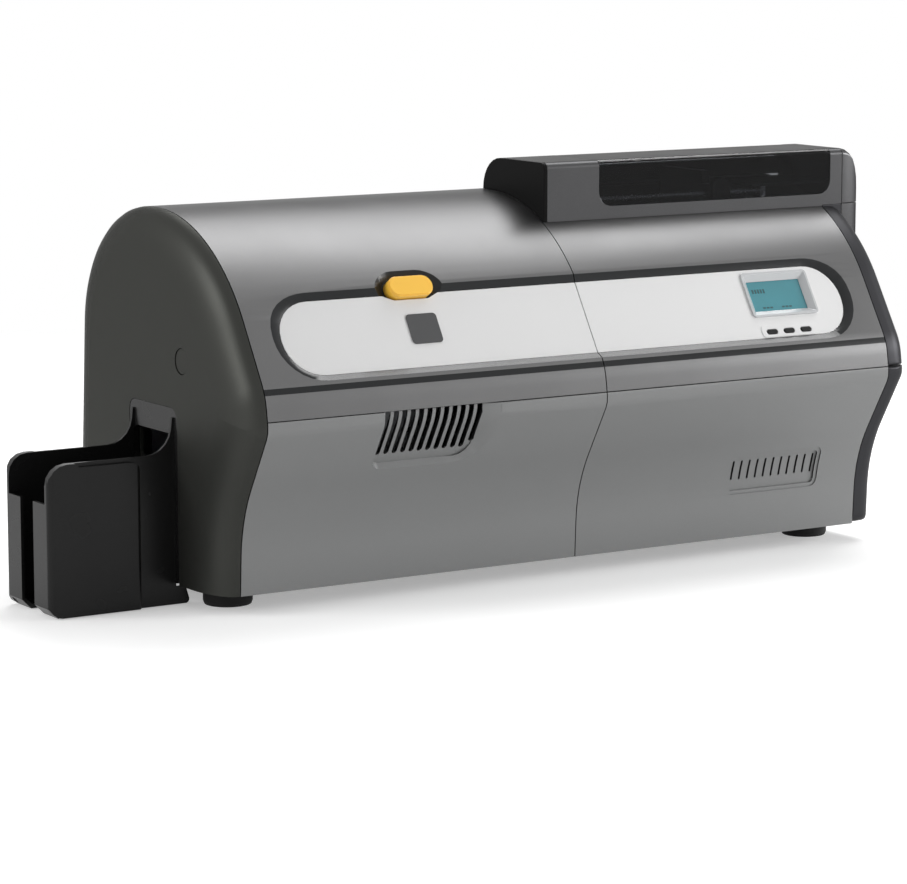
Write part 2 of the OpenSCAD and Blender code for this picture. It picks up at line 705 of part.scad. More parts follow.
tray_w = 62;
tray_y0 = path_y - tray_w / 2;
tray_y1 = path_y + tray_w / 2;
tray_x0 = right_x - 220;
tray_x1 = right_x - 68;

display_x = right_x - display_gap;
display_s = 36;
bezel_border = 6;
bezel_t = 1.2;
bezel_sink = 3.2;
bezel_w = display_w + 2 * bezel_border;
bezel_h = display_h + 2 * bezel_border;
key_s = 4.8;
key_h = 3.8;
key_travel = 0.8;
key_proud = 1.2;
function key_x(i) = display_x + (i - 1) * key_pitch - 2.4;
function box_corners(x, s, w, h, r) = [[x - w / 2, s - h / 2, r], [x + w / 2, s - h / 2, r],
                                       [x + w / 2, s + h / 2, r], [x - w / 2, s + h / 2, r]];
bezel_corners = box_corners(display_x, display_s, bezel_w, bezel_h, 3);
glass_corners = box_corners(display_x, display_s, display_w, display_h, 0.8);

module right_cover() {
    cuts = upper_cuts(panel_edge_angle + 0.4);
    color("gray") place() difference() {
        union() {
            body_shell(seam / 2, right_x - seam, cuts);
            for (x = [8, right_x - 12]) cover_rib(x, cuts);
        }
        band_recess(right_trim_corners, right_recess_draw);
        // well of the card tray, under the feeder
        block([tray_x0 - 3, feeder_y + 3, crown_at(feeder_y) - 30],
                [tray_x1 + 3, tray_y1 + 2, crown_z + 20]);
        // openings behind the display and the keys
        on_face() {
            face_prism(-face_wall - 2, 0) polygon(outline(inset(bezel_corners, same(bezel_corners, 1))));
            for (i = [0:2]) translate([key_x(i), key_s, 0])
                face_prism(-face_wall - 2, 0) stadium(key_l + 1, key_h + 1);
        }
        // room for the reject drawer
        block([tray_x1 + 2, feeder_y + 6, bin_z - 1],
                [right_x + 1, feeder_y + feeder_d - 4, bin_top_z - 3]);
    }
}

module right_trim() {
    color("white") place() difference() {
        union() {
            trim_plate(right_trim_corners);
            // raised tongue round the keys
            on_face() face_prism(-trim_sink, -trim_sink + 0.5)
                polygon(outline(box_corners(key_x(1), key_s + 0.5, 2 * key_pitch + key_l + 9, key_h + 6,
                        3)));
        }
        on_face() {
            face_prism(-trim_sink - trim_t - 1, 0) polygon(outline(inset(bezel_corners,
                    same(bezel_corners, 1.5))));
            for (i = [0:2]) translate([key_x(i), key_s, 0])
                face_prism(-trim_sink - trim_t - 1, 1) stadium(key_l + 2 * fit, key_h + 2 * fit);
        }
    }
}

module display_bezel() {
    color("whitesmoke") place() on_face() difference() {
        steps = steps_of(bezel_corners);
        window = inset(bezel_corners, same(bezel_corners, bezel_border));
        union() {
            face_prism(-trim_sink, -trim_sink + bezel_t) polygon(outline(bezel_corners));
            face_prism(-trim_sink - bezel_sink, -trim_sink + eps)
                polygon(outline(inset(bezel_corners, same(bezel_corners, 1.5 + fit))));
        }
        loft([[outline(window, steps), -trim_sink - bezel_sink - 1],
              [outline(window, steps), -trim_sink - bezel_sink + 0.4],
              [outline(inset(bezel_corners, same(bezel_corners, 1.4)), steps),
                      -trim_sink + bezel_t + 0.1]]);
    }
}

module display_module() {
    color([0.31, 0.63, 0.65]) place() on_face() {
        face_prism(-trim_sink - bezel_sink - 1.8, -trim_sink - bezel_sink - 0.2)
            polygon(outline(inset(glass_corners, same(glass_corners, -1))));
        face_prism(-face_wall - 2.2, -trim_sink - bezel_sink - 1.8)
            polygon(outline(inset(bezel_corners, same(bezel_corners, 2.4))));
        // board that carries the display and the keys' switches
        face_prism(-face_wall - 5, -face_wall - 3.2)
            polygon(outline(box_corners(display_x, display_s - 9, bezel_w + 4, bezel_h + 26, 1)));
        face_prism(-face_wall - 3.2, -face_wall - 2.2)
            polygon(outline(inset(bezel_corners, same(bezel_corners, 2.4))));
    }
}

module key(i) {
    color([0.1, 0.1, 0.1]) place() on_face() translate([key_x(i), key_s, 0]) {
        face_prism(-face_wall - 0.6, -trim_sink + key_proud - 0.5) stadium(key_l, key_h);
        face_prism(-trim_sink + key_proud - 0.5, -trim_sink + key_proud) stadium(key_l - 1, key_h - 1);
        face_prism(-face_wall - 2.2, -face_wall - 0.6) stadium(key_l + 2.4, key_h + 2.4);
    }
}

// ---- Rear panel and base ----

fan_at = [right_x - 74, 118];
fan_size = 60;
inlet_at = [left_x + 70, 52];
ports_at = [right_x - 204, 52];
rear_slot_x = left_x + 75;
rear_slots = 9;
module rear_panel() {
    cuts = [[[0, floor_z + wall + fit], [1, 0]], [[rear_hub[0], 0], [0, -1]],
            [rear_hub, polar(1, panel_edge_angle + 180)]];
    color([0.3, 0.3, 0.31]) place() {
        difference() {
            body_shell(left_x + seam, right_x - seam, cuts);
            // round grille before the fan, as concentric slots broken by spokes
            bar(body_depth - 30, body_depth + 5) translate(fan_at) difference() {
                for (r = [8:7:28]) difference() {
                    circle(r = r, $fn = round_steps);
                    circle(r = r - 4, $fn = round_steps);
                }
                for (a = [0:60:120]) rotate(a) square([70, 3], center = true);
            }
            // row of upright slots behind the print bay
            for (i = [0:rear_slots - 1]) block([rear_slot_x + 14 * i, body_depth - 30, 110],
                    [rear_slot_x + 6 + 14 * i, body_depth + 5, 150]);
            // power inlet, switch and data ports
            block([inlet_at[0] - 14, body_depth - 30, inlet_at[1] - 10.5],
                    [inlet_at[0] + 14, body_depth + 5, inlet_at[1] + 10.5]);
            block([inlet_at[0] + 24, body_depth - 30, inlet_at[1] - 9.5],
                    [inlet_at[0] + 37, body_depth + 5, inlet_at[1] + 9.5]);
            block([ports_at[0] - 8.5, body_depth - 30, ports_at[1] - 7.5],
                    [ports_at[0] + 8.5, body_depth + 5, ports_at[1] + 7.5]);
            block([ports_at[0] + 18, body_depth - 30, ports_at[1] - 7.5],
                    [ports_at[0] + 31, body_depth + 5, ports_at[1] + 6.5]);
        }
        hinge_leaf(0, panel_edge_angle);
    }
}

pan_t = 2.5;
pan_y0 = lower_reach + fit;
pan_y1 = body_depth - wall - 1;
module base_pan() {
    color([0.35, 0.35, 0.36]) place() difference() {
        union() {
            block([left_x + 1, pan_y0, floor_z], [right_x - 1, pan_y1, floor_z + pan_t]);
            block([left_x + 1, pan_y0, floor_z], [right_x - 1, pan_y0 + 1.5, floor_z + 12]);
        }
        // air intake slots
        for (i = [0:11]) block([-40 + 10 * i, path_y + 40, floor_z - 1],
                [-36 + 10 * i, path_y + 75, floor_z + pan_t + 1]);
    }
}

module foot(x, y) {
    color([0.08, 0.08, 0.08]) place() translate([x, y, 0]) {
        cylinder(h = 3, r1 = foot_r - 1, r2 = foot_r, $fn = round_steps);
        translate([0, 0, 3]) cylinder(h = floor_z - 3, r = foot_r, $fn = round_steps);
    }
}
foot_x0 = left_x + foot_side;
foot_x1 = right_x - foot_side + 9;

// ---- Feeder ----

feeder_x0 = 1;
feeder_x1 = right_x + 19;
feeder_rear = feeder_y + feeder_d;
feeder_wall = 2.4;
feeder_foot_z = crown_at(feeder_y) - 20;
feeder_corners = [[feeder_y, feeder_foot_z, 0], [feeder_rear, feeder_foot_z, 0],
                  [feeder_rear, feeder_z, 24], [feeder_y, feeder_z, 5]];
feeder_cavity = inset(feeder_corners, [0, feeder_wall, feeder_wall, feeder_wall]);
window_x0 = window_off;
window_x1 = right_x + window_past;
window_z = 271;
lid_axis = [feeder_rear - 24, feeder_z - 4];
lid_pin_r = 1.5;
lid_gap = 0.4;

// Space taken by the body below the feeder
module body_below(gap) slab(-5, end_x + 5) polygon(outline(inset(body_corners, same(body_corners, -gap))));

module feeder_tube(x0, x1) difference() {
    slab(x0, x1) polygon(outline(feeder_corners));
    slab(x0 - eps, x1 + eps) polygon(outline(feeder_cavity, steps_of(feeder_corners)));
}

// Opening of the window, seen from the front, with rounded lower corners
window_corners = [[window_x0, window_z, 11], [window_x1, window_z, 11], [window_x1, feeder_z + 20, 0],
                  [window_x0, feeder_z + 20, 0]];

module feeder_housing() {
    color([0.34, 0.34, 0.35]) place() difference() {
        union() {
            feeder_tube(feeder_x0 + 3.2, feeder_x1);
            // deck over the drive space, right of the card tray
            block([tray_x1 + 4, feeder_y + 1, crown_z - 2], [feeder_x1, feeder_rear - 1, crown_z]);
            // bosses that carry the lid's hinge pin
            for (x = [window_x0 - 6, window_x1 + 0.5])
                slab(x, x + 5.5) translate(lid_axis) circle(r = 3.6, $fn = round_steps);
        }
        body_below(0.15);
        block([right_x, feeder_y - 1, bin_z - 30], [feeder_x1 + 1, feeder_rear + 1, bin_top_z]);
        bar(feeder_y - 5, feeder_y + 8) polygon(outline(window_corners));
        block([window_x0, feeder_y - 5, feeder_z - 9], [window_x1, lid_axis[0] + 5, feeder_z + 9]);
        rod_x(window_x0 - 9, window_x1 + 9, lid_axis, lid_pin_r + run_fit / 4);
    }
}

module feeder_end_plate() {
    color([0.11, 0.11, 0.11]) place() difference() {
        slab(feeder_x0, feeder_x0 + 3) polygon(outline(feeder_corners));
        body_below(0.15);
    }
}

module feeder_lid() {
    color([0.15, 0.17, 0.18, 0.6]) place() {
        difference() {
            union() {
                intersection() {
                    difference() {
                        slab(window_x0 + lid_gap, window_x1 - lid_gap) polygon(outline(feeder_corners));
                        slab(window_x0, window_x1)
                            polygon(outline(feeder_cavity, steps_of(feeder_corners)));
                    }
                    union() {
                        bar(feeder_y - 5, feeder_y + 8)
                            polygon(outline(inset(window_corners, same(window_corners, lid_gap))));
                        block([window_x0, feeder_y + 3, feeder_z - 8],
                                [window_x1, lid_axis[0] - 1, feeder_z + 5]);
                    }
                }
                for (x = [window_x0 + lid_gap, window_x1 - lid_gap - 8]) {
                    slab(x, x + 8) {
                        translate(lid_axis) circle(r = 3.4, $fn = round_steps);
                        polygon([lid_axis + [-4, 1.6], lid_axis + [0, -3.4], lid_axis + [0, 3.4],
                                lid_axis + [-4, 4]]);
                    }
                }
            }
            rod_x(window_x0 - 1, window_x1 + 1, lid_axis, lid_pin_r + run_fit);
        }
    }
}

module lid_hinge_pin() {
    color("silver") place() rod_x(window_x0 - 5.5, window_x1 + 5.5, lid_axis, lid_pin_r);
}

// Rounded end: one domed form, cut at the drawer's top
dome_corners = [[feeder_y, bin_z, 0.8], [feeder_rear, bin_z, 0.8], [feeder_rear, feeder_z, 24],
                [feeder_y, feeder_z, 5]];
dome_draw = [1, 22, 40, 6];
module dome(x0, depth) {
    translate([x0, 0, 0]) rotate([90, 0, 90]) {
        steps = steps_of(dome_corners);
        loft(cap_rings(dome_corners, steps, dome_draw, depth, depth, 7));
    }
}
dome_x = feeder_x1 + 0.4;
dome_depth = end_x - dome_x;
module feeder_end_cap() {
    color([0.3, 0.3, 0.31]) place() difference() {
        dome(dome_x, dome_depth);
        block([dome_x - 1, feeder_y - 1, bin_z - 1], [end_x + 1, feeder_rear + 1, bin_top_z + 0.3]);
        block([dome_x - 1, feeder_y + 9, bin_top_z + 3], [dome_x + 9, feeder_rear - 9, feeder_z - 14]);
    }
}

// ---- Reject drawer ----

bin_y0 = feeder_y + 9;
bin_y1 = feeder_rear - 7;
bin_floor = bin_z + 3;
bin_rim = bin_top_z - 4;
bin_x0 = tray_x1 + 4;
bin_x1 = dome_x + 8;
module reject_bin() {
    color([0.3, 0.3, 0.31]) place() difference() {
        union() {
            intersection() {
                dome(dome_x, dome_depth);
                block([dome_x - 1, feeder_y - 1, bin_z - 1], [end_x + 1, feeder_rear + 1, bin_top_z - 0.1]);
            }
            block([bin_x0, bin_y0, bin_floor - 1.5], [dome_x + 0.5, bin_y1, bin_rim]);
        }
        block([bin_x0 + 2, bin_y0 + 2, bin_floor + 0.5], [bin_x1, bin_y1 - 2, bin_top_z + 1]);
    }
}

// Sleeve that the drawer slides through
module reject_housing() {
    color([0.27, 0.27, 0.28]) place() difference() {
        block([right_x + 0.4, feeder_y, bin_z], [feeder_x1, feeder_rear, bin_top_z - 0.1]);
        block([right_x, bin_y0 - fit, bin_floor - 1.5 - fit], [feeder_x1 + 1, bin_y1 + fit, bin_rim + fit]);
    }
}

// ---- Card tray and pusher ----

tray_floor_z = 200;
tray_top = 264;
tray_t = 2;
rod_r = 2.5;
rod_at = [feeder_y + 12, crown_at(feeder_y) + 14];
module card_tray() {
    color([0.2, 0.2, 0.21]) place() difference() {
        union() {
            block([tray_x0, tray_y0, tray_floor_z], [tray_x1, tray_y1, tray_floor_z + tray_t]);
            for (y = [tray_y0, tray_y1 - tray_t])
                block([tray_x0, y, tray_floor_z], [tray_x1, y + tray_t, tray_top]);
            block([tray_x0, tray_y0, tray_floor_z], [tray_x0 + tray_t, tray_y1, tray_top]);
            block([tray_x1 - tray_t, tray_y0, tray_floor_z], [tray_x1, tray_y1, tray_top]);
            // ears that rest on the chassis plates
            block([tray_x0 + 20, chassis_y0 - 3, tray_floor_z],
                    [tray_x0 + 50, chassis_y1 + 5, tray_floor_z + tray_t]);
            block([tray_x1 - 50, chassis_y0 - 3, tray_floor_z],
                    [tray_x1 - 20, chassis_y1 + 5, tray_floor_z + tray_t]);
        }
        // feed slot at the left end
        block([tray_x0 + tray_t + 0.5, tray_y0 + 4, tray_floor_z - 1],
                [tray_x0 + tray_t + 4, tray_y1 - 4, tray_floor_z + tray_t + 1]);
        // finger cut in the front wall
        block([tray_x0 + 30, tray_y0 - 1, tray_top - 14],
                [tray_x1 - 30, tray_y0 + tray_t + 1, tray_top + 1]);
    }
}

pusher_t = 17;
pusher_x = right_x - pusher_gap;
module card_pusher() {
    color([0.16, 0.16, 0.17]) place() difference() {
        union() {
            // plate behind the last card
            block([pusher_x - 5, tray_y0 + tray_t + 1, tray_floor_z + tray_t + 1],
                  [pusher_x + 2, tray_y1 - tray_t - 1, feeder_z - 14]);
            // carriage on the rod
            block([pusher_x - pusher_t / 2, rod_at[0] - 6, tray_top + 1],
                  [pusher_x + pusher_t / 2, tray_y0 + tray_t + 6, rod_at[1] + 7]);
            // thumb tab behind the window, round at the top and ridged
            bar(feeder_y + 4, rod_at[0] - 3) translate([pusher_x, rod_at[1] + 4]) {
                circle(d = pusher_t, $fn = round_steps);
                translate([-pusher_t / 2, -8]) square([pusher_t, 8]);
            }
            for (i = [0:4]) block([pusher_x - 6, feeder_y + 3.2, rod_at[1] - 2 + 2.6 * i],
                                  [pusher_x + 6, feeder_y + 4.5, rod_at[1] - 0.7 + 2.6 * i]);
        }
        rod_x(pusher_x - 20, pusher_x + 20, rod_at, rod_r + run_fit);
    }
}

module pusher_rod() {
    color("silver") place() {
        rod_x(feeder_x0 + 3, tray_x1 + 18, rod_at, rod_r);
        block([tray_x1 + 12, rod_at[0] - 5, crown_at(rod_at[0] + 5) + 0.1],
                [tray_x1 + 17, rod_at[0] + 5, crown_z - 2]);
    }
}

// ---- Output hopper ----

hopper_y0 = path_y - hopper_w / 2;
hopper_y1 = path_y + hopper_w / 2;
hopper_wall = 2.4;
hopper_lift = 0.6;
neck_x = cap_x - 28;
neck_inset = 3.5;
tongue_l = 12;
corner_r = 4;
hopper_side_corners = [
    [hopper_x, hopper_lift, 10], [cap_x + tongue_l, hopper_lift, 3],
            [cap_x + tongue_l - 4, floor_z - 1.5, 3],
    [cap_x + 0.5, floor_z - 1.5, 0], [cap_x + 0.5, 136, 0], [cap_x - 1.5, 136, 1],
            [cap_x - 4, hopper_side_z, 20], [hopper_x, hopper_side_z, 15]];
hopper_pad_corners = [
    [hopper_x, hopper_lift, 10], [neck_x, hopper_lift, 2], [neck_x, hopper_side_z - 3, 8],
    [neck_x - 49, hopper_side_z - 3, 2], [neck_x - 51, hopper_side_z, 2], [hopper_x, hopper_side_z, 15]];

// What an upright outer corner loses when it is rounded
module corner_loss(x, y, turn, r) translate([x, y, -1]) rotate(turn) difference() {
    translate([-r, -r, 0]) cube([r + eps, r + eps, hopper_side_z + 2]);
    translate([-r, -r, -1]) cylinder(h = hopper_side_z + 4, r = r, $fn = round_steps);
}

module output_hopper() {
    color([0.17, 0.17, 0.17]) place() difference() {
        union() {
            for (y = [hopper_y0 + neck_inset, hopper_y1 - neck_inset - hopper_wall])
                bar(y, y + hopper_wall) polygon(outline(hopper_side_corners));
            // raised outer pads of the two sides
            bar(hopper_y0, hopper_y0 + neck_inset + 0.5) polygon(outline(hopper_pad_corners));
            bar(hopper_y1 - neck_inset - 0.5, hopper_y1) polygon(outline(hopper_pad_corners));
            // floor, end wall and back plate
            block([hopper_x + 7, hopper_y0 + neck_inset, hopper_lift],
                  [cap_x + tongue_l - 3, hopper_y1 - neck_inset, hopper_lift + 3]);
            block([hopper_x, hopper_y0 + 1, hopper_lift + 7],
                    [hopper_x + hopper_wall, hopper_y1 - 1, hopper_end_z]);
            bar(hopper_y0 + 1, hopper_y1 - 1) polygon([[hopper_x, hopper_lift + 7],
                    [hopper_x + 7, hopper_lift],
                [hopper_x + 8, hopper_lift + 3], [hopper_x + hopper_wall, hopper_lift + 8.5]]);
            slab(cap_x, cap_x + plate_t) polygon(outline(concat(
                [[path_y - plate_w / 2, floor_z + 1, 3], [path_y + plate_w / 2, floor_z + 1, 3]],
                [plate_corners[2], plate_corners[3]])));
            // hooks into the cap, above the card exit
            block([cap_x + plate_t - 0.5, path_y - 25, mouth_z1 + 5],
                    [cap_x + plate_t + 0.8, path_y + 25, mouth_z1 + 9]);
        }
        // thumb slot through the end wall and into the floor
        block([hopper_x - 1, path_y - thumb_w / 2, -1],
                [hopper_x + 16, path_y + thumb_w / 2, hopper_end_z + 1]);
        slab(cap_x - 1, cap_x + plate_t + 2) polygon(outline(inset(mouth_corners,
                same(mouth_corners, -1.2))));
        corner_loss(hopper_x, hopper_y0, 180, corner_r);
        corner_loss(hopper_x, hopper_y1, 90, corner_r);
        corner_loss(neck_x, hopper_y0, 270, neck_inset);
        corner_loss(neck_x, hopper_y1, 0, neck_inset);
    }
}

// ---- Chassis and card path ----

chassis_y0 = path_y - 54;
chassis_y1 = path_y + 52;
chassis_t = 2;
chassis_x0 = left_x + 9;
chassis_x1 = right_x - 8;
chassis_z0 = floor_z + pan_t;
chassis_z1 = 196;
exit_x = left_x + 33;
platen_x = -150;
entry_x = -22;
chassis_step_x = 4;
roller_z = path_z - 0.4 - drive_r;
pinch_z = path_z + 0.4 + pinch_r;
motor_at = [platen_x + 64, 62];
supply_at = [platen_x - 62, 166];
takeup_at = [platen_x + 60, 166];
flip_at = [48, path_z];
flip_r = 33;
head_pivot = [platen_x + 28, path_z + 38];
guide_l = [platen_x - 31, path_z + 4];
guide_r = [platen_x + 31, path_z + 4];
guide_rod_r = 2.5;

chassis_outline = [[chassis_x0, chassis_z0], [chassis_x1, chassis_z0], [chassis_x1, tray_floor_z],
                   [chassis_step_x, tray_floor_z], [chassis_step_x - 18, chassis_z1],
                           [chassis_x0, chassis_z1]];

module chassis_bores(y0, y1) {
    for (x = [exit_x, platen_x, entry_x]) rod_y(y0, y1, [x, roller_z], shaft_r + run_fit);
    for (x = [exit_x, entry_x]) rod_y(y0, y1, [x, pinch_z], shaft_r + run_fit);
    for (at = [supply_at, takeup_at]) rod_y(y0, y1, at, 4 + run_fit);
    for (at = [guide_l, guide_r]) rod_y(y0, y1, at, guide_rod_r + run_fit / 4);
    rod_y(y0, y1, head_pivot, shaft_r + run_fit);
    rod_y(y0, y1, flip_at, 5 + run_fit);
    // lightening windows under the path
    for (x = [left_x + 50, -20, right_x - 174, right_x - 94])
        block([x, y0, chassis_z0 + 22], [x + 55, y1, roller_z - 24]);
}

module chassis_front() {
    color("silver") place() {
        difference() {
            union() {
                bar(chassis_y0, chassis_y0 + chassis_t) polygon(chassis_outline);
                block([chassis_x0, chassis_y0 - 12, chassis_z0],
                        [chassis_x1, chassis_y0 + 1, chassis_z0 + chassis_t]);
            }
            chassis_bores(chassis_y0 - 5, chassis_y0 + 5);
        }
        // keeper that the cover's latch hooks under
        block([button_x - 16, keeper_y, keeper_z], [button_x + 16, chassis_y0 + 0.5, keeper_z + keeper_t]);
        for (x = [button_x - 16, button_x + 14])
            bar_gusset(x, 2);
    }
}
module bar_gusset(x, t) slab(x, x + t)
    polygon([[chassis_y0 - 20, keeper_z + 0.5], [chassis_y0 + 0.5, keeper_z - 18],
            [chassis_y0 + 0.5, keeper_z + 0.5]]);

module chassis_rear() {
    color("silver") place() difference() {
        union() {
            bar(chassis_y1, chassis_y1 + chassis_t) polygon(chassis_outline);
            block([chassis_x0, chassis_y1 + 1, chassis_z0],
                    [chassis_x1, chassis_y1 + 14, chassis_z0 + chassis_t]);
        }
        chassis_bores(chassis_y1 - 5, chassis_y1 + 5);
        rod_y(chassis_y1 - 5, chassis_y1 + 5, motor_at, 12);
    }
}

pulley_r = 7.4;
belt_y = chassis_y1 + chassis_t + 4;
belt_w = 6;
module roller(x, z, r, half_len, with_pulley) {
    rod_y(chassis_y0 - 3, with_pulley ? belt_y + belt_w + 2 : chassis_y1 + chassis_t + 3, [x, z], shaft_r);
    rod_y(path_y - half_len, path_y + half_len, [x, z], r);
    if (with_pulley) {
        rod_y(belt_y - 1, belt_y + belt_w + 1, [x, z], pulley_r);
        for (y = [belt_y - 2, belt_y + belt_w + 0.4]) rod_y(y, y + 1.2, [x, z], pulley_r + 2.2);
    }
}
module exit_roller() color([0.12, 0.12, 0.12]) place() roller(exit_x, roller_z, drive_r, 28, true);
module platen_roller() color([0.15, 0.15, 0.15]) place() roller(platen_x, roller_z, drive_r, 31, true);
module entry_roller() color([0.12, 0.12, 0.12]) place() roller(entry_x, roller_z, drive_r, 28, true);
module exit_pinch_roller() color([0.75, 0.75, 0.78]) place() roller(exit_x, pinch_z, pinch_r, 26, false);
module cleaning_roller() color([0.55, 0.7, 0.85]) place() roller(entry_x, pinch_z, pinch_r, 29, false);

belt_gap = 0.35;
belt_t = 1.2;
module belt_loop(r) hull() for (at = [[exit_x, roller_z], [entry_x, roller_z], motor_at])
    translate(at) circle(r = r, $fn = 32);
module drive_belt() {
    color([0.1, 0.1, 0.1]) place() bar(belt_y, belt_y + belt_w) difference() {
        belt_loop(pulley_r + belt_gap + belt_t);
        belt_loop(pulley_r + belt_gap);
    }
}

motor_w = 42;
module drive_motor() {
    color([0.2, 0.2, 0.22]) place() difference() {
        union() {
            bar(chassis_y1 - 34, chassis_y1) translate(motor_at)
                polygon(outline(box_corners(0, 0, motor_w, motor_w, 4)));
            rod_y(chassis_y1 - 1, chassis_y1 + 1.8, motor_at, 11);
        }
        rod_y(chassis_y1 - 12, chassis_y1 + 5, motor_at, shaft_r + run_fit);
    }
}
module motor_pulley() {
    color("silver") place() {
        rod_y(chassis_y1 - 11, belt_y + belt_w + 3, motor_at, shaft_r);
        rod_y(belt_y - 1, belt_y + belt_w + 1, motor_at, pulley_r);
        for (y = [belt_y - 2, belt_y + belt_w + 0.4]) rod_y(y, y + 1.2, motor_at, pulley_r + 2.2);
    }
}

// Ribbon spool: core, film wound on it and two spoked flanges
module spool(at, film_r) {
    rod_y(chassis_y0 - 2, chassis_y1 + chassis_t + 3, at, 4);
    rod_y(path_y - 34, path_y + 34, at, 12);
    rod_y(path_y - 29, path_y + 29, at, film_r);
    for (y = [path_y - 34, path_y + 31]) difference() {
        rod_y(y, y + 3, at, spool_r);
        for (a = [0:60:300]) rod_y(y - 1, y + 4, at + polar(19, a), 4.5);
    }
}
supply_film_r = 21;
takeup_film_r = 15;
module ribbon_supply() color([0.85, 0.85, 0.85]) place() spool(supply_at, supply_film_r);
module ribbon_takeup() color([0.85, 0.85, 0.85]) place() spool(takeup_at, takeup_film_r);

// Ribbon web between the spools, round the two guides and under the printhead; each free run
// crosses from one roll to the next guide, so it touches both at the same slope
film_t = 0.3;
film_gap = 0.6;
guide_wrap_r = guide_rod_r + 0.4;
function cross_turn(a, ra, b, rb, side) =
    atan2(b[1] - a[1], b[0] - a[0]) + side * acos((ra + rb) / norm(b - a));
supply_turn = cross_turn(supply_at, supply_film_r + film_gap, guide_l, guide_wrap_r, 1);
takeup_turn = cross_turn(takeup_at, takeup_film_r + film_gap, guide_r, guide_wrap_r, -1);
function guide_wrap(at, from, to) = [for (k = [0:6]) at + polar(guide_wrap_r, from + (to - from) * k / 6)];
film_path = concat([supply_at + polar(supply_film_r + film_gap, supply_turn)],
                   guide_wrap(guide_l, supply_turn + 180, 270),
                   guide_wrap(guide_r, 270, takeup_turn + 540),
                   [takeup_at + polar(takeup_film_r + film_gap, takeup_turn)]);
function path_normal(path, i) = let (a = path[max(0, i - 1)], b = path[min(len(path) - 1, i + 1)],
    d = unit(b - a)) [-d[1], d[0]];
module ribbon_film() {
    color([0.5, 0.1, 0.35]) place() bar(path_y - 28, path_y + 28) polygon(concat(
        [for (i = [0:len(film_path) - 1]) film_path[i] + path_normal(film_path, i) * film_t / 2],
        [for (i = [len(film_path) - 1:-1:0]) film_path[i] - path_normal(film_path, i) * film_t / 2]));
}
module ribbon_guides() {
    color("silver") place() for (at = [guide_l, guide_r])
        rod_y(chassis_y0 - 1, chassis_y1 + chassis_t + 1, at, guide_rod_r);
}

head_tip_z = path_z + 1.7;
module printhead() {
    color([0.62, 0.62, 0.64]) place() difference() {
        union() {
            // finned heat sink with the print line at its foot
            bar(path_y - 30, path_y + 30) polygon([
                [platen_x - 4, head_tip_z], [platen_x + 2, head_tip_z], [platen_x + 6, head_tip_z + 8],
                [platen_x + 20, head_tip_z + 12], [platen_x + 20, head_pivot[1] + 16],
                [platen_x - 20, head_pivot[1] + 16], [platen_x - 20, head_tip_z + 12],
                [platen_x - 8, head_tip_z + 8]]);
            // arms to the pivot shaft
            for (y = [path_y - 38, path_y + 30]) bar(y, y + 8)
                polygon([[platen_x - 12, head_pivot[1] - 8], [head_pivot[0], head_pivot[1] - 6],
                         [head_pivot[0] + 6, head_pivot[1]], [head_pivot[0], head_pivot[1] + 6],
                         [platen_x - 12, head_pivot[1] + 10]]);
            rod_y(chassis_y0 - 2, chassis_y1 + chassis_t + 2, head_pivot, shaft_r);
        }
        // gaps between the fins
        for (i = [0:6]) block([platen_x - 17 + i * 5, path_y - 31, head_pivot[1] - 4],
                              [platen_x - 14.4 + i * 5, path_y + 31, head_pivot[1] + 17]);
    }
}

// Card flipper: a slotted carriage that turns a card end over end
module card_flipper() {
    color([0.25, 0.4, 0.6]) place() difference() {
        union() {
            bar(path_y - 32, path_y + 32) translate(flip_at)
                polygon(outline(box_corners(0, 0, 2 * flip_r - 6, 20, 6)));
            for (y = [path_y - 36, path_y + 32]) rod_y(y, y + 4, flip_at, flip_r - 2);
            rod_y(chassis_y0 - 3, path_y - 35, flip_at, 5);
            rod_y(path_y + 35, chassis_y1 + chassis_t + 4, flip_at, 5);
        }
        // card slot and the roller windows
        block([flip_at[0] - flip_r, path_y - 28, flip_at[1] - 1],
                [flip_at[0] + flip_r, path_y + 28, flip_at[1] + 1]);
        for (side = [-1, 1]) block([flip_at[0] + side * 14 - 5, path_y - 12, flip_at[1] - 12],
                                   [flip_at[0] + side * 14 + 5, path_y + 12, flip_at[1] + 12]);
    }
}

// ---- Electrics ----

board_x0 = right_x - 174;
board_x1 = right_x - 24;
board_z = floor_z + pan_t + 8;
board_t = 1.6;
module main_board() {
    color([0.1, 0.35, 0.2]) place() {
        block([board_x0, path_y - 45, board_z], [board_x1, path_y + 42, board_z + board_t]);
        for (x = [board_x0 + 6, board_x1 - 6]) for (y = [path_y - 39, path_y + 36])
            translate([x, y, floor_z + pan_t]) cylinder(h = 8, r = 3, $fn = 24);
        block([board_x0 + 20, path_y - 25, board_z + board_t],
                [board_x0 + 48, path_y + 3, board_z + board_t + 2.4]);
        block([board_x0 + 70, path_y - 30, board_z + board_t],
                [board_x0 + 82, path_y + 20, board_z + board_t + 6.4]);
        for (i = [0:2]) translate([board_x1 - 40 + 14 * i, path_y + 20, board_z + board_t])
            cylinder(h = 16, r = 5, $fn = 24);
    }
}

psu_x0 = left_x + 35;
psu_size = [110, 80, 36];
module power_supply() {
    color([0.7, 0.7, 0.72]) place() translate([psu_x0, path_y - psu_size[1] / 2,
            floor_z + pan_t]) difference() {
        cube(psu_size);
        for (i = [0:8]) translate([10 + 11 * i, -1, 8]) cube([6, 3, psu_size[2] - 16]);
    }
}

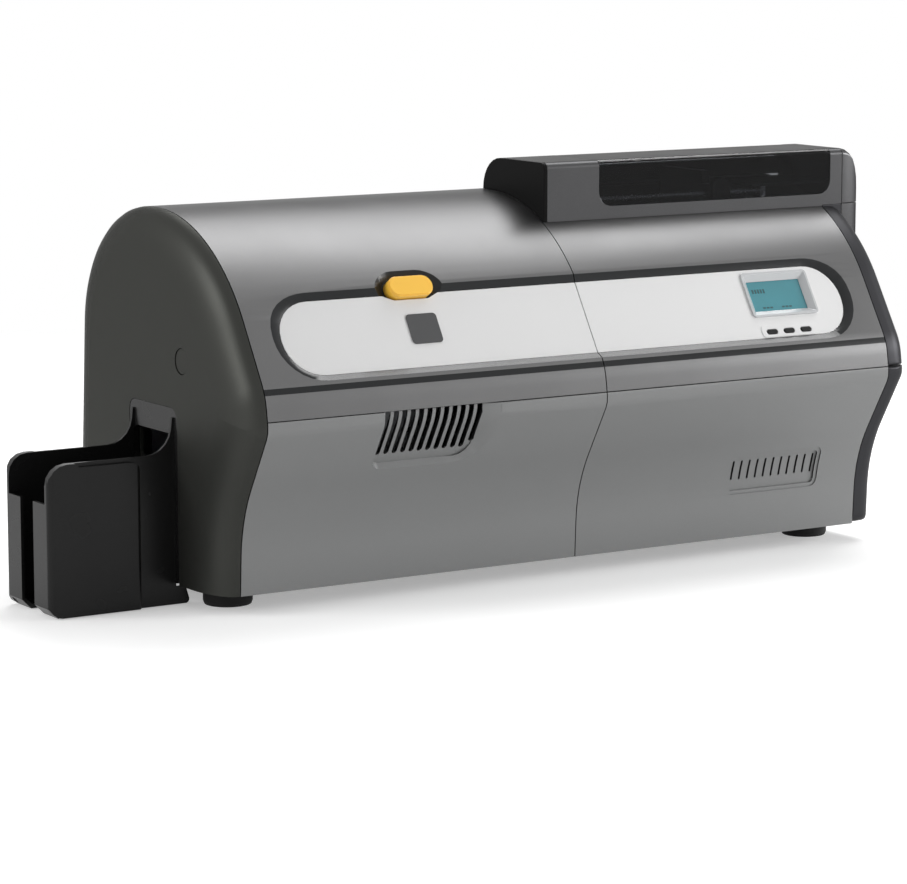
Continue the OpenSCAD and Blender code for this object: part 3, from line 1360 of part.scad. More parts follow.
fan_t = 20;
fan_y1 = rear_y(fan_at[1] + fan_size / 2) - wall - 0.5;
fan_y0 = fan_y1 - fan_t;
module fan_housing() {
    color([0.12, 0.12, 0.12]) place() {
        difference() {
            bar(fan_y0, fan_y1) translate(fan_at) polygon(outline(box_corners(0, 0, fan_size, fan_size,
                    4)));
            rod_y(fan_y0 - 1, fan_y1 - 3, fan_at, fan_size / 2 - 2);
            rod_y(fan_y1 - 4, fan_y1 + 1, fan_at, fan_size / 2 - 3);
        }
        bar(fan_y1 - 3, fan_y1) translate(fan_at) {
            circle(r = 11, $fn = round_steps);
            for (a = [45:90:135]) rotate(a) square([fan_size - 2, 4], center = true);
        }
        rod_y(fan_y1 - 14, fan_y1 - 2, fan_at, 2);
    }
}
fan_blades = 7;
module fan_rotor() {
    color([0.16, 0.16, 0.16]) place() difference() {
        union() {
            rod_y(fan_y0 + 1, fan_y1 - 4, fan_at, 12);
            for (k = [0:fan_blades - 1]) translate([fan_at[0], (fan_y0 + fan_y1) / 2 - 1.5, fan_at[1]])
                rotate([0, k * 360 / fan_blades, 0]) translate([11, 0, 0]) rotate([35, 0, 0])
                    translate([0, -7, -0.7]) cube([fan_size / 2 - 15, 14, 1.4]);
        }
        rod_y(fan_y1 - 15, fan_y1, fan_at, 2 + run_fit);
    }
}

inlet_y = rear_y(inlet_at[1]);
switch_at = inlet_at + [30.5, 0];
seat_y = inlet_y - wall - 1.5;
module power_inlet() {
    color([0.06, 0.06, 0.06]) place() difference() {
        union() {
            bar(inlet_y - 22, inlet_y - 0.8) translate(inlet_at) polygon(outline(box_corners(0, 0, 27, 20,
                    3)));
            bar(seat_y - 2, seat_y) translate(inlet_at) polygon(outline(box_corners(0, 0, 32, 25, 2)));
            bar(seat_y - 10, seat_y) translate(switch_at) square([17, 23], center = true);
            bar(seat_y - 2, seat_y) translate(inlet_at + [18, 0]) square([12, 20], center = true);
        }
        bar(inlet_y - 17, inlet_y + 1) translate(inlet_at) polygon(outline(box_corners(0, 0, 24, 16, 3)));
        bar(seat_y - 8.5, seat_y + 1) translate(switch_at) square([12, 18.4], center = true);
        rod_x(switch_at[0] - 7.4, switch_at[0] + 7.4, [inlet_y - 6, switch_at[1]], 1.2 + run_fit);
    }
}
module power_switch() {
    color([0.08, 0.08, 0.08]) place() {
        slab(switch_at[0] - 5.5, switch_at[0] + 5.5)
            polygon([[inlet_y - 9, switch_at[1] - 4.5], [inlet_y - 2.4, switch_at[1] - 8],
                     [inlet_y + 1.6, switch_at[1] - 7.5], [inlet_y - 1, switch_at[1]],
                     [inlet_y - 1.8, switch_at[1] + 7.5], [inlet_y - 3.4, switch_at[1] + 8],
                     [inlet_y - 9, switch_at[1] + 4.5]]);
        rod_x(switch_at[0] - 7, switch_at[0] + 7, [inlet_y - 6, switch_at[1]], 1.2);
    }
}
ports_y = rear_y(ports_at[1]);
module data_ports() {
    color([0.75, 0.75, 0.77]) place() {
        difference() {
            block([ports_at[0] - 8, ports_y - 22, ports_at[1] - 7],
                    [ports_at[0] + 8, ports_y - 1, ports_at[1] + 7]);
            block([ports_at[0] - 6, ports_y - 14, ports_at[1] - 5],
                    [ports_at[0] + 6, ports_y + 1, ports_at[1] + 4]);
        }
        difference() {
            block([ports_at[0] + 18.5, ports_y - 18, ports_at[1] - 7],
                    [ports_at[0] + 30.5, ports_y - 1, ports_at[1] + 5.5]);
            block([ports_at[0] + 20.5, ports_y - 10, ports_at[1] - 4],
                    [ports_at[0] + 28.5, ports_y + 1, ports_at[1] + 3.5]);
        }
        block([ports_at[0] - 14, ports_y - 22, ports_at[1] - 10],
                [ports_at[0] + 36, ports_y - 8, ports_at[1] - 7]);
    }
}

base_pan();
rear_panel();
left_end_cap();
cap_plug();
front_left_panel();
front_right_panel();
right_lower_cap();
right_upper_cap();
right_cover();
right_trim();
display_bezel();
display_module();
key(0);  // key_left
key(1);  // key_middle
key(2);  // key_right
print_cover();
left_trim();
badge_tile();
cover_button();
cover_latch();
latch_pin();
cover_hinge_pin();
feeder_housing();
feeder_end_plate();
feeder_end_cap();
feeder_lid();
lid_hinge_pin();
card_tray();
card_pusher();
pusher_rod();
reject_housing();
reject_bin();
output_hopper();
chassis_front();
chassis_rear();
exit_roller();
platen_roller();
entry_roller();
exit_pinch_roller();
cleaning_roller();
drive_belt();
drive_motor();
motor_pulley();
ribbon_supply();
ribbon_takeup();
ribbon_film();
ribbon_guides();
printhead();
card_flipper();
main_board();
power_supply();
fan_housing();
fan_rotor();
power_inlet();
power_switch();
data_ports();
foot(foot_x0, foot_front);  // foot_front_left
foot(foot_x1, foot_front);  // foot_front_right
foot(foot_x0, body_depth - foot_rear);  // foot_rear_left
foot(foot_x1, body_depth - foot_rear);  // foot_rear_right
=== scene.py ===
# %% [markdown]
# # A desktop card printer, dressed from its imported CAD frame
#
# The CAD model gives every shell, roller and key its true size and place. This script gives them
# their looks. Each cell makes one piece or one finish, and the text cell before it says what the
# real thing is, how it could be made and why this way was chosen. All lengths are in metres, in the
# frame of the CAD: X along the card path to the right, Y to the rear, Z up from the table.

import json
import math

import bmesh
import bpy
from mathutils import Euler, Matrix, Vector


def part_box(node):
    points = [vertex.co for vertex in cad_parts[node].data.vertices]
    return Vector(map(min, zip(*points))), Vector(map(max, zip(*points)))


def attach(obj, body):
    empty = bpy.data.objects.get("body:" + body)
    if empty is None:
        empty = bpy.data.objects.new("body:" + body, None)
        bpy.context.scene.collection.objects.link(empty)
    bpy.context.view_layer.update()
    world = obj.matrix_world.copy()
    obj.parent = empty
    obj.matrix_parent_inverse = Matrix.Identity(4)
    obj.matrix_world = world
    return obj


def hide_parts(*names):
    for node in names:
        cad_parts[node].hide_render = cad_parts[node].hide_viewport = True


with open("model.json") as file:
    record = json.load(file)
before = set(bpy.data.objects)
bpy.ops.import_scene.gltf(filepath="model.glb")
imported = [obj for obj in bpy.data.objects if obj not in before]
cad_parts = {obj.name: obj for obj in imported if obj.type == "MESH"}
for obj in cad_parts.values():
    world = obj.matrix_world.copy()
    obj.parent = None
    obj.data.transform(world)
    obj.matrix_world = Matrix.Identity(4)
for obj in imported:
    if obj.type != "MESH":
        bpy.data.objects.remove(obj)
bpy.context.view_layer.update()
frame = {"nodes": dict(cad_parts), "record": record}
MM = 0.001

# %% [markdown]
# ## Camera
# The photograph was taken from the front left, a little above the table, with a long lens. The
# camera's place was solved beforehand from straight edges whose real directions are known, so the
# model falls on the same pixels. A long lens keeps parallels nearly parallel.

# %% Place the camera
CAMERA_LENS = 141.04
CAMERA_PLACE = (-1.41963, -2.25276, 0.50923)
CAMERA_DROP = 8.88
CAMERA_TURN = -32.298

camera_data = bpy.data.cameras.new("photo_camera")
camera_data.lens = CAMERA_LENS
camera_data.sensor_width = 36.0
camera_data.clip_start = 0.1
camera_data.clip_end = 60.0
camera = bpy.data.objects.new("photo_camera", camera_data)
bpy.context.scene.collection.objects.link(camera)
camera.location = CAMERA_PLACE
camera.rotation_euler = Euler((math.radians(90 - CAMERA_DROP), 0, math.radians(CAMERA_TURN)))
bpy.context.scene.camera = camera
print("camera at", tuple(camera.location))

# %% [markdown]
# ## Light
# A product photograph is lit by large soft sources: one overhead to the right, which draws the
# broad highlight along the front of the crown, one from the front right, which makes the front
# panels brighter towards the right, and a weaker one on the left. Area lamps do that better than
# points or a sun, as a large lamp gives a wide soft highlight on satin paint.

# %% Three soft lamps
bpy.context.scene.view_settings.view_transform = "Standard"


def soft_lamp(name, place, target, size, watts):
    """A rectangular area lamp that looks at a point."""
    data = bpy.data.lights.new(name, "AREA")
    data.shape = "RECTANGLE"
    data.size, data.size_y = size
    data.energy = watts
    lamp = bpy.data.objects.new(name, data)
    lamp.location = place
    lamp.rotation_euler = (Vector(target) - Vector(place)).to_track_quat("-Z", "Y").to_euler()
    bpy.context.scene.collection.objects.link(lamp)
    return lamp


soft_lamp("overhead", (0.8, 0.70, 1.65), (0, 0.0, 0.2), (2.0, 1.0), 36)
soft_lamp("front_right", (2.5, -1.4, 0.8), (0.1, 0, 0.15), (1.3, 0.9), 52)
soft_lamp("left", (-2.6, 0.5, 1.3), (-0.2, 0, 0.15), (1.2, 1.2), 34)

# %% [markdown]
# ## Helpers for node trees
# Finishes, shared effects and Geometry Nodes are all trees of nodes. These helpers add a node, set
# its values and link its inputs in one call, so the later cells read as lists of effects. Noises
# take the object's own coordinates, so a pattern stays on its piece when a joint moves it.

# %% Helpers for node trees
FLOAT = "NodeSocketFloat"
COLOR = "NodeSocketColor"
VECTOR = "NodeSocketVector"


def node(tree, kind, links=(), **values):
    """Adds a node, sets its named or numbered inputs and properties, and links its inputs."""
    made = tree.nodes.new(kind)
    for key, value in values.items():
        if key.startswith("in_"):
            made.inputs[key[3:].replace("_", " ")].default_value = value
        elif key.startswith("n"):
            made.inputs[int(key[1:])].default_value = value
        else:
            setattr(made, key, value)
    for socket, source in links:
        tree.links.new(source, made.inputs[socket])
    return made


def reckon(tree, operation, *values, clamp=False):
    """The result of a Math node, from numbers and from the outputs of other nodes."""
    made = node(tree, "ShaderNodeMath", operation=operation, use_clamp=clamp)
    for place, value in enumerate(values):
        if isinstance(value, (int, float)):
            made.inputs[place].default_value = value
        else:
            tree.links.new(value, made.inputs[place])
    return made.outputs[0]


def noise(tree, scale, detail):
    """A noise over the object's coordinates; the scale is a number or an output."""
    where = node(tree, "ShaderNodeTexCoord")
    made = node(tree, "ShaderNodeTexNoise", [("Vector", where.outputs["Object"])], in_Detail=detail)
    if isinstance(scale, (int, float)):
        made.inputs["Scale"].default_value = scale
    else:
        tree.links.new(scale, made.inputs["Scale"])
    return made.outputs[0]


def effect(name, inputs, outputs):
    """An empty shader node group with named sockets."""
    group = bpy.data.node_groups.new(name, "ShaderNodeTree")
    for label, kind, value in inputs:
        socket = group.interface.new_socket(label, in_out="INPUT", socket_type=kind)
        socket.default_value = value
    for label, kind in outputs:
        group.interface.new_socket(label, in_out="OUTPUT", socket_type=kind)
    return group, group.nodes.new("NodeGroupInput"), group.nodes.new("NodeGroupOutput")


def new_material(name):
    """A material with an empty node tree, its output and its Principled shader."""
    made = bpy.data.materials.new(name)
    made.use_nodes = True
    tree = made.node_tree
    tree.nodes.clear()
    output = tree.nodes.new("ShaderNodeOutputMaterial")
    shader = tree.nodes.new("ShaderNodeBsdfPrincipled")
    tree.links.new(shader.outputs[0], output.inputs["Surface"])
    return made, tree, shader, output


def background_rays(tree):
    """One where a ray of the camera, of gloss or of clear plastic looks, else zero."""
    rays = node(tree, "ShaderNodeLightPath").outputs
    clear = reckon(tree, "MAXIMUM", rays["Is Camera Ray"], rays["Is Transmission Ray"])
    return reckon(tree, "MAXIMUM", clear, rays["Is Glossy Ray"])


print("helpers ready")

# %% [markdown]
# ## Pale room
# The room is a plain white cyclorama. Light Path tells the rays apart: rays of the camera, of gloss
# and of clear plastic see plain white, and diffuse rays get a weaker light, so that the background
# is white without flooding the object.

# %% A white room that lights softly
ROOM_LIGHT = 0.42

world = bpy.data.worlds.new("pale_room")
bpy.context.scene.world = world
world.use_nodes = True
room = world.node_tree
room.nodes.clear()
seen = node(room, "ShaderNodeBackground", in_Color=(1, 1, 1, 1), in_Strength=1.0)
lit = node(room, "ShaderNodeBackground", in_Color=(1, 1, 1, 1), in_Strength=ROOM_LIGHT)
choose = node(room, "ShaderNodeMixShader",
              [(0, background_rays(room)), (1, lit.outputs[0]), (2, seen.outputs[0])])
node(room, "ShaderNodeOutputWorld", [("Surface", choose.outputs[0])])
print("world", world.name)

# %% [markdown]
# ## Floor
# The floor is white paper. Its own shading keeps the soft contact shadow, and a little light that
# only the camera, gloss and clear plastic see lifts the paper without lighting the object. Farther
# out the paper fades to plain white, so no horizon shows.

# %% A white floor
PAPER_LIFT = 0.36
FADE_FROM = 0.75
FADE_TO = 1.5
FLOOR_REACH = 12.0

paper, tree, shader, output = new_material("white_paper")
shader.inputs["Base Color"].default_value = (0.78, 0.78, 0.78, 1)
shader.inputs["Roughness"].default_value = 0.9
shader.inputs["Specular IOR Level"].default_value = 0.1
whiteness = background_rays(tree)
strength = reckon(tree, "MULTIPLY", whiteness, PAPER_LIFT)
lift = node(tree, "ShaderNodeEmission", [("Strength", strength)])
near = node(tree, "ShaderNodeAddShader", [(0, shader.outputs[0]), (1, lift.outputs[0])])
middle = node(tree, "ShaderNodeTexCoord")
distance = node(tree, "ShaderNodeVectorMath", [(0, middle.outputs["Object"])], operation="LENGTH")
fade = node(tree, "ShaderNodeMapRange", [("Value", distance.outputs["Value"])],
            interpolation_type="SMOOTHSTEP", in_From_Min=FADE_FROM, in_From_Max=FADE_TO)
share = reckon(tree, "MULTIPLY", fade.outputs[0], whiteness)
white = node(tree, "ShaderNodeEmission", in_Strength=1.0)
blend = node(tree, "ShaderNodeMixShader", [(0, share), (1, near.outputs[0]), (2, white.outputs[0])])
tree.links.new(blend.outputs[0], output.inputs["Surface"])

corners = [(x * FLOOR_REACH, y * FLOOR_REACH, 0) for x, y in ((-1, -1), (1, -1), (1, 1), (-1, 1))]
floor_mesh = bpy.data.meshes.new("floor")
floor_mesh.from_pydata(corners, [], [(0, 1, 2, 3)])
floor_mesh.materials.append(paper)
floor = bpy.data.objects.new("floor", floor_mesh)
bpy.context.scene.collection.objects.link(floor)
print("floor", FLOOR_REACH * 2, "m wide")

# %% [markdown]
# ## Effects that many finishes share
# Moulded plastic has a fine spark-eroded grain, metallic paint has tiny bright flakes, drawn metal
# has long scratches, and everything that stands in an office has faint dust and handling marks.
# Each effect is one node group, built once, so every finish can use it with its own values.
#
# ### Grain
# The tools of such shells are spark eroded, which leaves a fine matt grain. A noise at less than a
# millimetre drives a Bump node, and a broad noise varies the roughness a little, as handling does.

# %% Grain of moulded plastic
grain, gi, go = effect(
    "Moulded Grain",
    [("Scale", FLOAT, 1800), ("Depth", FLOAT, 0.1), ("Roughness", FLOAT, 0.4),
     ("Spread", FLOAT, 0.1)],
    [("Normal", VECTOR), ("Roughness", FLOAT)])
fine = noise(grain, gi.outputs["Scale"], 2.0)
bump = node(grain, "ShaderNodeBump", [("Height", fine), ("Strength", gi.outputs["Depth"])],
            in_Distance=0.0004)
shift = reckon(grain, "SUBTRACT", noise(grain, 22.0, 3.0), 0.5)
rough = reckon(grain, "MULTIPLY_ADD", shift, gi.outputs["Spread"], gi.outputs["Roughness"])
grain.links.new(bump.outputs[0], go.inputs["Normal"])
grain.links.new(rough, go.inputs["Roughness"])
print("group", grain.name)

# %% [markdown]
# ### Flakes
# The covers are sprayed with a dark paint that holds aluminium flakes. Each Voronoi cell is one
# flake, and a power curve keeps only the few that face the light. They are much smaller than a
# pixel in the photograph, so the cells are small and weak.

# %% Flakes of metallic paint
flake, gi, go = effect(
    "Paint Flake",
    [("Color", COLOR, (0.1, 0.1, 0.1, 1)), ("Bright", COLOR, (0.5, 0.5, 0.5, 1)),
     ("Scale", FLOAT, 7000), ("Amount", FLOAT, 0.2)],
    [("Color", COLOR)])
place = node(flake, "ShaderNodeTexCoord")
cells = node(flake, "ShaderNodeTexVoronoi",
             [("Vector", place.outputs["Object"]), ("Scale", gi.outputs["Scale"])])
split = node(flake, "ShaderNodeSeparateColor", [(0, cells.outputs["Color"])])
sharp = reckon(flake, "POWER", split.outputs[0], 5.0)
glint = reckon(flake, "MULTIPLY", sharp, gi.outputs["Amount"], clamp=True)
mixed = node(flake, "ShaderNodeMix", data_type="RGBA")
flake.links.new(glint, mixed.inputs[0])
flake.links.new(gi.outputs["Color"], mixed.inputs[6])
flake.links.new(gi.outputs["Bright"], mixed.inputs[7])
flake.links.new(mixed.outputs[2], go.inputs["Color"])
print("group", flake.name)

# %% [markdown]
# ### Dust
# Dust settles on what faces up, so the surface's normal gives its mask, and two noises break it up.
# A cloudy noise also makes the colour itself a little uneven, as hands do.

# %% Dust and handling marks
worn, gi, go = effect(
    "Dust And Handling",
    [("Color", COLOR, (0.1, 0.1, 0.1, 1)), ("Dust", COLOR, (0.45, 0.44, 0.42, 1)),
     ("Amount", FLOAT, 0.05), ("Mottle", FLOAT, 0.06)],
    [("Color", COLOR)])
facing = node(worn, "ShaderNodeNewGeometry")
parts = node(worn, "ShaderNodeSeparateXYZ", [(0, facing.outputs["Normal"])])
up = reckon(worn, "POWER", parts.outputs[2], 3.0, clamp=True)
cloudy = noise(worn, 14.0, 5.0)
both = reckon(worn, "MULTIPLY", noise(worn, 900.0, 4.0), cloudy)
dusty = reckon(worn, "MULTIPLY", both, up)
share = reckon(worn, "MULTIPLY", dusty, gi.outputs["Amount"], clamp=True)
mixed = node(worn, "ShaderNodeMix", data_type="RGBA")
worn.links.new(share, mixed.inputs[0])
worn.links.new(gi.outputs["Color"], mixed.inputs[6])
worn.links.new(gi.outputs["Dust"], mixed.inputs[7])
swing = reckon(worn, "SUBTRACT", cloudy, 0.5)
gain = reckon(worn, "MULTIPLY_ADD", swing, gi.outputs["Mottle"], 1.0)
tinted = node(worn, "ShaderNodeVectorMath", [(0, mixed.outputs[2]), ("Scale", gain)],
              operation="SCALE")
worn.links.new(tinted.outputs[0], go.inputs["Color"])
print("group", worn.name)

# %% [markdown]
# ### Drawn metal
# Shafts and sheet metal carry fine lines along one direction. A noise that is stretched along that
# direction gives both the lines and the spread of the highlight.

# %% Scratches of drawn metal
drawn, gi, go = effect(
    "Drawn Metal",
    [("Stretch", VECTOR, (4, 900, 900)), ("Depth", FLOAT, 0.1), ("Roughness", FLOAT, 0.3),
     ("Spread", FLOAT, 0.25)],
    [("Normal", VECTOR), ("Roughness", FLOAT)])
place = node(drawn, "ShaderNodeTexCoord")
lay = node(drawn, "ShaderNodeMapping",
           [("Vector", place.outputs["Object"]), ("Scale", gi.outputs["Stretch"])])
lines = node(drawn, "ShaderNodeTexNoise", [("Vector", lay.outputs[0])], in_Scale=1.0, in_Detail=4.0)
bump = node(drawn, "ShaderNodeBump",
            [("Height", lines.outputs[0]), ("Strength", gi.outputs["Depth"])], in_Distance=0.0003)
shift = reckon(drawn, "SUBTRACT", lines.outputs[0], 0.5)
rough = reckon(drawn, "MULTIPLY_ADD", shift, gi.outputs["Spread"], gi.outputs["Roughness"])
drawn.links.new(bump.outputs[0], go.inputs["Normal"])
drawn.links.new(rough, go.inputs["Roughness"])
print("group", drawn.name)

# %% [markdown]
# ## Finishes
# Every finish is a Principled shader fed by the groups above. Plastics and paints take the grain
# and the dust; metals take the scratches. What is the same all over a surface, such as the coat
# or the metalness, is set on the shader itself.

# %% Makers of finishes
MATERIALS = {}


def placed(tree, group):
    """One of the shared groups, placed in a material."""
    spot = tree.nodes.new("ShaderNodeGroup")
    spot.node_tree = group
    return spot


def moulded(name, color, rough, depth=0.12, scale=1800, dust=0.06, mottle=0.06, metal=0.0, coat=0.0,
            specular=0.5, flakes=0.0, bright=(0.5, 0.5, 0.5), rim=1.0):
    """Plastic, rubber or paint; the rim is how much of its edge-on shine a surface keeps."""
    made, tree, shader, _ = new_material(name)
    surface = placed(tree, grain)
    surface.inputs["Scale"].default_value = scale
    surface.inputs["Depth"].default_value = depth
    surface.inputs["Roughness"].default_value = rough
    surface.inputs["Spread"].default_value = 0.1
    marks = placed(tree, worn)
    marks.inputs["Amount"].default_value = dust
    marks.inputs["Mottle"].default_value = mottle
    if flakes:
        glint = placed(tree, flake)
        glint.inputs["Color"].default_value = (*color, 1)
        glint.inputs["Bright"].default_value = (*bright, 1)
        glint.inputs["Amount"].default_value = flakes
        tree.links.new(glint.outputs[0], marks.inputs["Color"])
    else:
        marks.inputs["Color"].default_value = (*color, 1)
    tree.links.new(marks.outputs[0], shader.inputs["Base Color"])
    tree.links.new(surface.outputs["Normal"], shader.inputs["Normal"])
    tree.links.new(surface.outputs["Roughness"], shader.inputs["Roughness"])
    shader.inputs["Metallic"].default_value = metal
    shader.inputs["Coat Weight"].default_value = coat
    shader.inputs["Coat Roughness"].default_value = 0.1
    shader.inputs["Specular IOR Level"].default_value = specular
    shader.inputs["Specular Tint"].default_value = (rim, rim, rim, 1)
    MATERIALS[name] = made


def metal_finish(name, color, rough, stretch=(900, 4, 900), depth=0.1, spread=0.25):
    """Bare or plated metal with drawn scratches."""
    made, tree, shader, _ = new_material(name)
    surface = placed(tree, drawn)
    surface.inputs["Stretch"].default_value = stretch
    surface.inputs["Depth"].default_value = depth
    surface.inputs["Roughness"].default_value = rough
    surface.inputs["Spread"].default_value = spread
    marks = placed(tree, worn)
    marks.inputs["Color"].default_value = (*color, 1)
    marks.inputs["Amount"].default_value = 0.03
    marks.inputs["Mottle"].default_value = 0.15
    tree.links.new(marks.outputs[0], shader.inputs["Base Color"])
    tree.links.new(surface.outputs["Normal"], shader.inputs["Normal"])
    tree.links.new(surface.outputs["Roughness"], shader.inputs["Roughness"])
    shader.inputs["Metallic"].default_value = 1.0
    MATERIALS[name] = made


# %% [markdown]
# ### Outside finishes
# The colours are set so that each surface is as bright as in the photograph: covers dark with a
# metallic lift, front panels mid grey, caps and hopper black, trim nearly white.

# %% Finishes of the outside
moulded("cover_grey", (0.132, 0.132, 0.133), 0.34, depth=0.04, scale=2600, metal=0.9, flakes=0.10,
        bright=(0.35, 0.35, 0.35), dust=0.01, mottle=0.02, specular=0.3, rim=0.3)
moulded("panel_grey", (0.215, 0.218, 0.218), 0.42, depth=0.03, scale=2400, metal=0.3, flakes=0.10,
        bright=(0.5, 0.5, 0.5), dust=0.0, mottle=0.02, specular=0.3, rim=0.6)
moulded("cap_grey", (0.046, 0.047, 0.043), 0.42, depth=0.08, scale=1500, dust=0.02, metal=0.6,
        specular=0.2, rim=0.3)
moulded("end_grey", (0.036, 0.036, 0.039), 0.40, depth=0.08, scale=1500, dust=0.02, metal=0.6,
        specular=0.2, rim=0.4)
moulded("hopper_black", (0.014, 0.014, 0.014), 0.26, depth=0.08, scale=1500, dust=0.02, metal=0.3,
        specular=0.4, rim=0.5)
moulded("trim_white", (0.74, 0.74, 0.74), 0.16, depth=0.0, coat=0.3, dust=0.0, mottle=0.01)
moulded("badge", (0.040, 0.041, 0.043), 0.22, depth=0.02, coat=0.4, dust=0.0)
moulded("bezel_white", (0.50, 0.51, 0.52), 0.24, depth=0.02, coat=0.2, dust=0.0, mottle=0.01,
        metal=0.2)
moulded("key_black", (0.006, 0.006, 0.006), 0.4, depth=0.05, dust=0.0, specular=0.2)
moulded("button_amber", (0.98, 0.56, 0.06), 0.3, depth=0.03, coat=0.2, dust=0.0, mottle=0.02)
moulded("feeder_grey", (0.070, 0.070, 0.072), 0.3, depth=0.03, scale=2600, metal=0.85, flakes=0.08,
        dust=0.01, specular=0.3, rim=0.25)
# Near black. On the feeder's flat tops it is a painted dark reflection, with its gloss nearly taken
# away.
moulded("end_black", (0.012, 0.012, 0.012), 0.35, depth=0.02, dust=0.01, specular=0.02, rim=0.2)
# Painted shade for the sides of the sunk band and of the button's notch, which face away from the
# light.
moulded("recess_grey", (0.012, 0.013, 0.014), 0.22, depth=0.03, dust=0.0, specular=0.25)
moulded("rear_grey", (0.03, 0.03, 0.031), 0.45, depth=0.2, scale=1400, dust=0.05)
moulded("rubber", (0.012, 0.012, 0.012), 0.7, depth=0.3, scale=700, dust=0.12, specular=0.3)
# Painted shade for the walls of the vents' slots, where no light reaches.
moulded("slot_dark", (0.004, 0.004, 0.004), 0.5, depth=0.05, dust=0.0)
print(len(MATERIALS), "outside finishes")

# %% [markdown]
# ### Inside finishes
# Little of the inside shows in a photograph, but an opened cover shows all of it: zinc plated
# chassis plates, rubber rollers, a blue cleaning roller, white spools and a green board.

# %% Finishes of the inside
moulded("inner_black", (0.014, 0.014, 0.014), 0.42, depth=0.2, dust=0.05)
moulded("belt", (0.014, 0.014, 0.014), 0.65, depth=0.4, scale=900)
moulded("roller_grey", (0.05, 0.05, 0.052), 0.6, depth=0.2, scale=1200)
moulded("cleaning_blue", (0.10, 0.26, 0.46), 0.25, depth=0.05, coat=0.3)
moulded("spool_white", (0.60, 0.60, 0.58), 0.4, depth=0.08)
moulded("film", (0.10, 0.012, 0.045), 0.18, depth=0.02, coat=0.5)
moulded("flipper_blue", (0.03, 0.09, 0.25), 0.4, depth=0.1)
moulded("board_green", (0.012, 0.10, 0.035), 0.35, depth=0.15, scale=500, coat=0.3)
moulded("pan", (0.035, 0.035, 0.036), 0.5, depth=0.35, scale=1100)
metal_finish("steel", (0.55, 0.55, 0.56), 0.25)
metal_finish("zinc", (0.42, 0.43, 0.45), 0.4, stretch=(60, 60, 60), depth=0.05, spread=0.5)
metal_finish("head", (0.48, 0.48, 0.49), 0.35)
metal_finish("psu", (0.40, 0.40, 0.41), 0.45, stretch=(80, 80, 80))
metal_finish("ports", (0.55, 0.55, 0.57), 0.3)
print(len(MATERIALS), "finishes in all")

# %% [markdown]
# ## Smoked window
# The window is dark clear plastic: a transmitting shader with a dark colour shows what is behind
# it and still reflects the room. A low index keeps the view through its thin wall straight.

# %% Smoked plastic
smoked, tree, shader, _ = new_material("smoked_lid")
span = node(tree, "ShaderNodeMapRange", [("Value", noise(tree, 60.0, 4.0))],
            in_To_Min=0.04, in_To_Max=0.09)
tree.links.new(span.outputs[0], shader.inputs["Roughness"])
shader.inputs["Base Color"].default_value = (0.15, 0.155, 0.165, 1)
shader.inputs["Transmission Weight"].default_value = 1.0
shader.inputs["IOR"].default_value = 1.25
MATERIALS["smoked_lid"] = smoked
print("window finish")

# %% [markdown]
# ## Display
# A small liquid crystal panel is lit from behind, so its colour comes partly from emission. A
# faint noise stands for the uneven light of such panels.

# %% The lit display
display, tree, shader, _ = new_material("display")
ramp = node(tree, "ShaderNodeMapRange", [("Value", noise(tree, 30.0, 2.0))],
            in_To_Min=0.9, in_To_Max=1.1)
teal = node(tree, "ShaderNodeVectorMath", operation="SCALE")
teal.inputs[0].default_value = (0.036, 0.19, 0.225)
tree.links.new(ramp.outputs[0], teal.inputs["Scale"])
tree.links.new(teal.outputs[0], shader.inputs["Base Color"])
tree.links.new(teal.outputs[0], shader.inputs["Emission Color"])
shader.inputs["Emission Strength"].default_value = 0.25
shader.inputs["Roughness"].default_value = 0.15
shader.inputs["Coat Weight"].default_value = 0.4
MATERIALS["display"] = display
print("display finish")

# %% [markdown]
# ## Finished copies of the moulded pieces
# A CAD shell has perfectly sharp edges, and no real moulding does: a tool leaves a radius of a few
# tenths of a millimetre, and that is what catches the light along every seam. The copy is merged,
# its flat regions become single faces, sharp edges get a small bevel, and the curved faces are
# shaded smooth. The node itself stays untouched for MuJoCo.

# %% Copy, soften and shade a CAD node
SLOT_OF = {part["node"]: part["material_slot"] for part in frame["record"]["subparts"]}
BODIES = frame["record"]["behaviour"]["bodies"]
BODY_OF = {member: body for body, members in BODIES.items() for member in members}


def as_mesh(obj):
    """The evaluated object as one plain mesh, with every modifier applied and removed."""
    made = bpy.data.meshes.new_from_object(obj.evaluated_get(bpy.context.evaluated_depsgraph_get()))
    made.name = obj.name
    old = obj.data
    obj.modifiers.clear()
    obj.data = made
    bpy.data.meshes.remove(old)
    return obj


def smooth_by_angle(mesh, degrees):
    """Smooth shading, with edges sharper than the angle kept crisp."""
    for face in mesh.polygons:
        face.use_smooth = True
    bm = bmesh.new()
    bm.from_mesh(mesh)
    for edge in bm.edges:
        edge.smooth = len(edge.link_faces) != 2 or edge.calc_face_angle(0) <= math.radians(degrees)
    bm.to_mesh(mesh)
    bm.free()


# %% [markdown]
# ### The dressing of one node
# Flat regions are dissolved first, because a bevel needs whole faces on both sides of an edge. The
# weighted normals then keep the large faces flat to the eye. A finish can be added for the faces
# that a test picks, such as the sides of a recess. How round an edge is depends on the piece:
# sheet metal least, small mouldings more, and the large shells, the hopper and the feet most.

# %% Dress a node
SHEET_EDGE = 0.2 * MM
SMALL_EDGE = 0.3 * MM
PANEL_EDGE = 0.4 * MM
SHELL_EDGE = 0.5 * MM
RIM_EDGE = 0.8 * MM
CORNER = 32
CREASE = 28


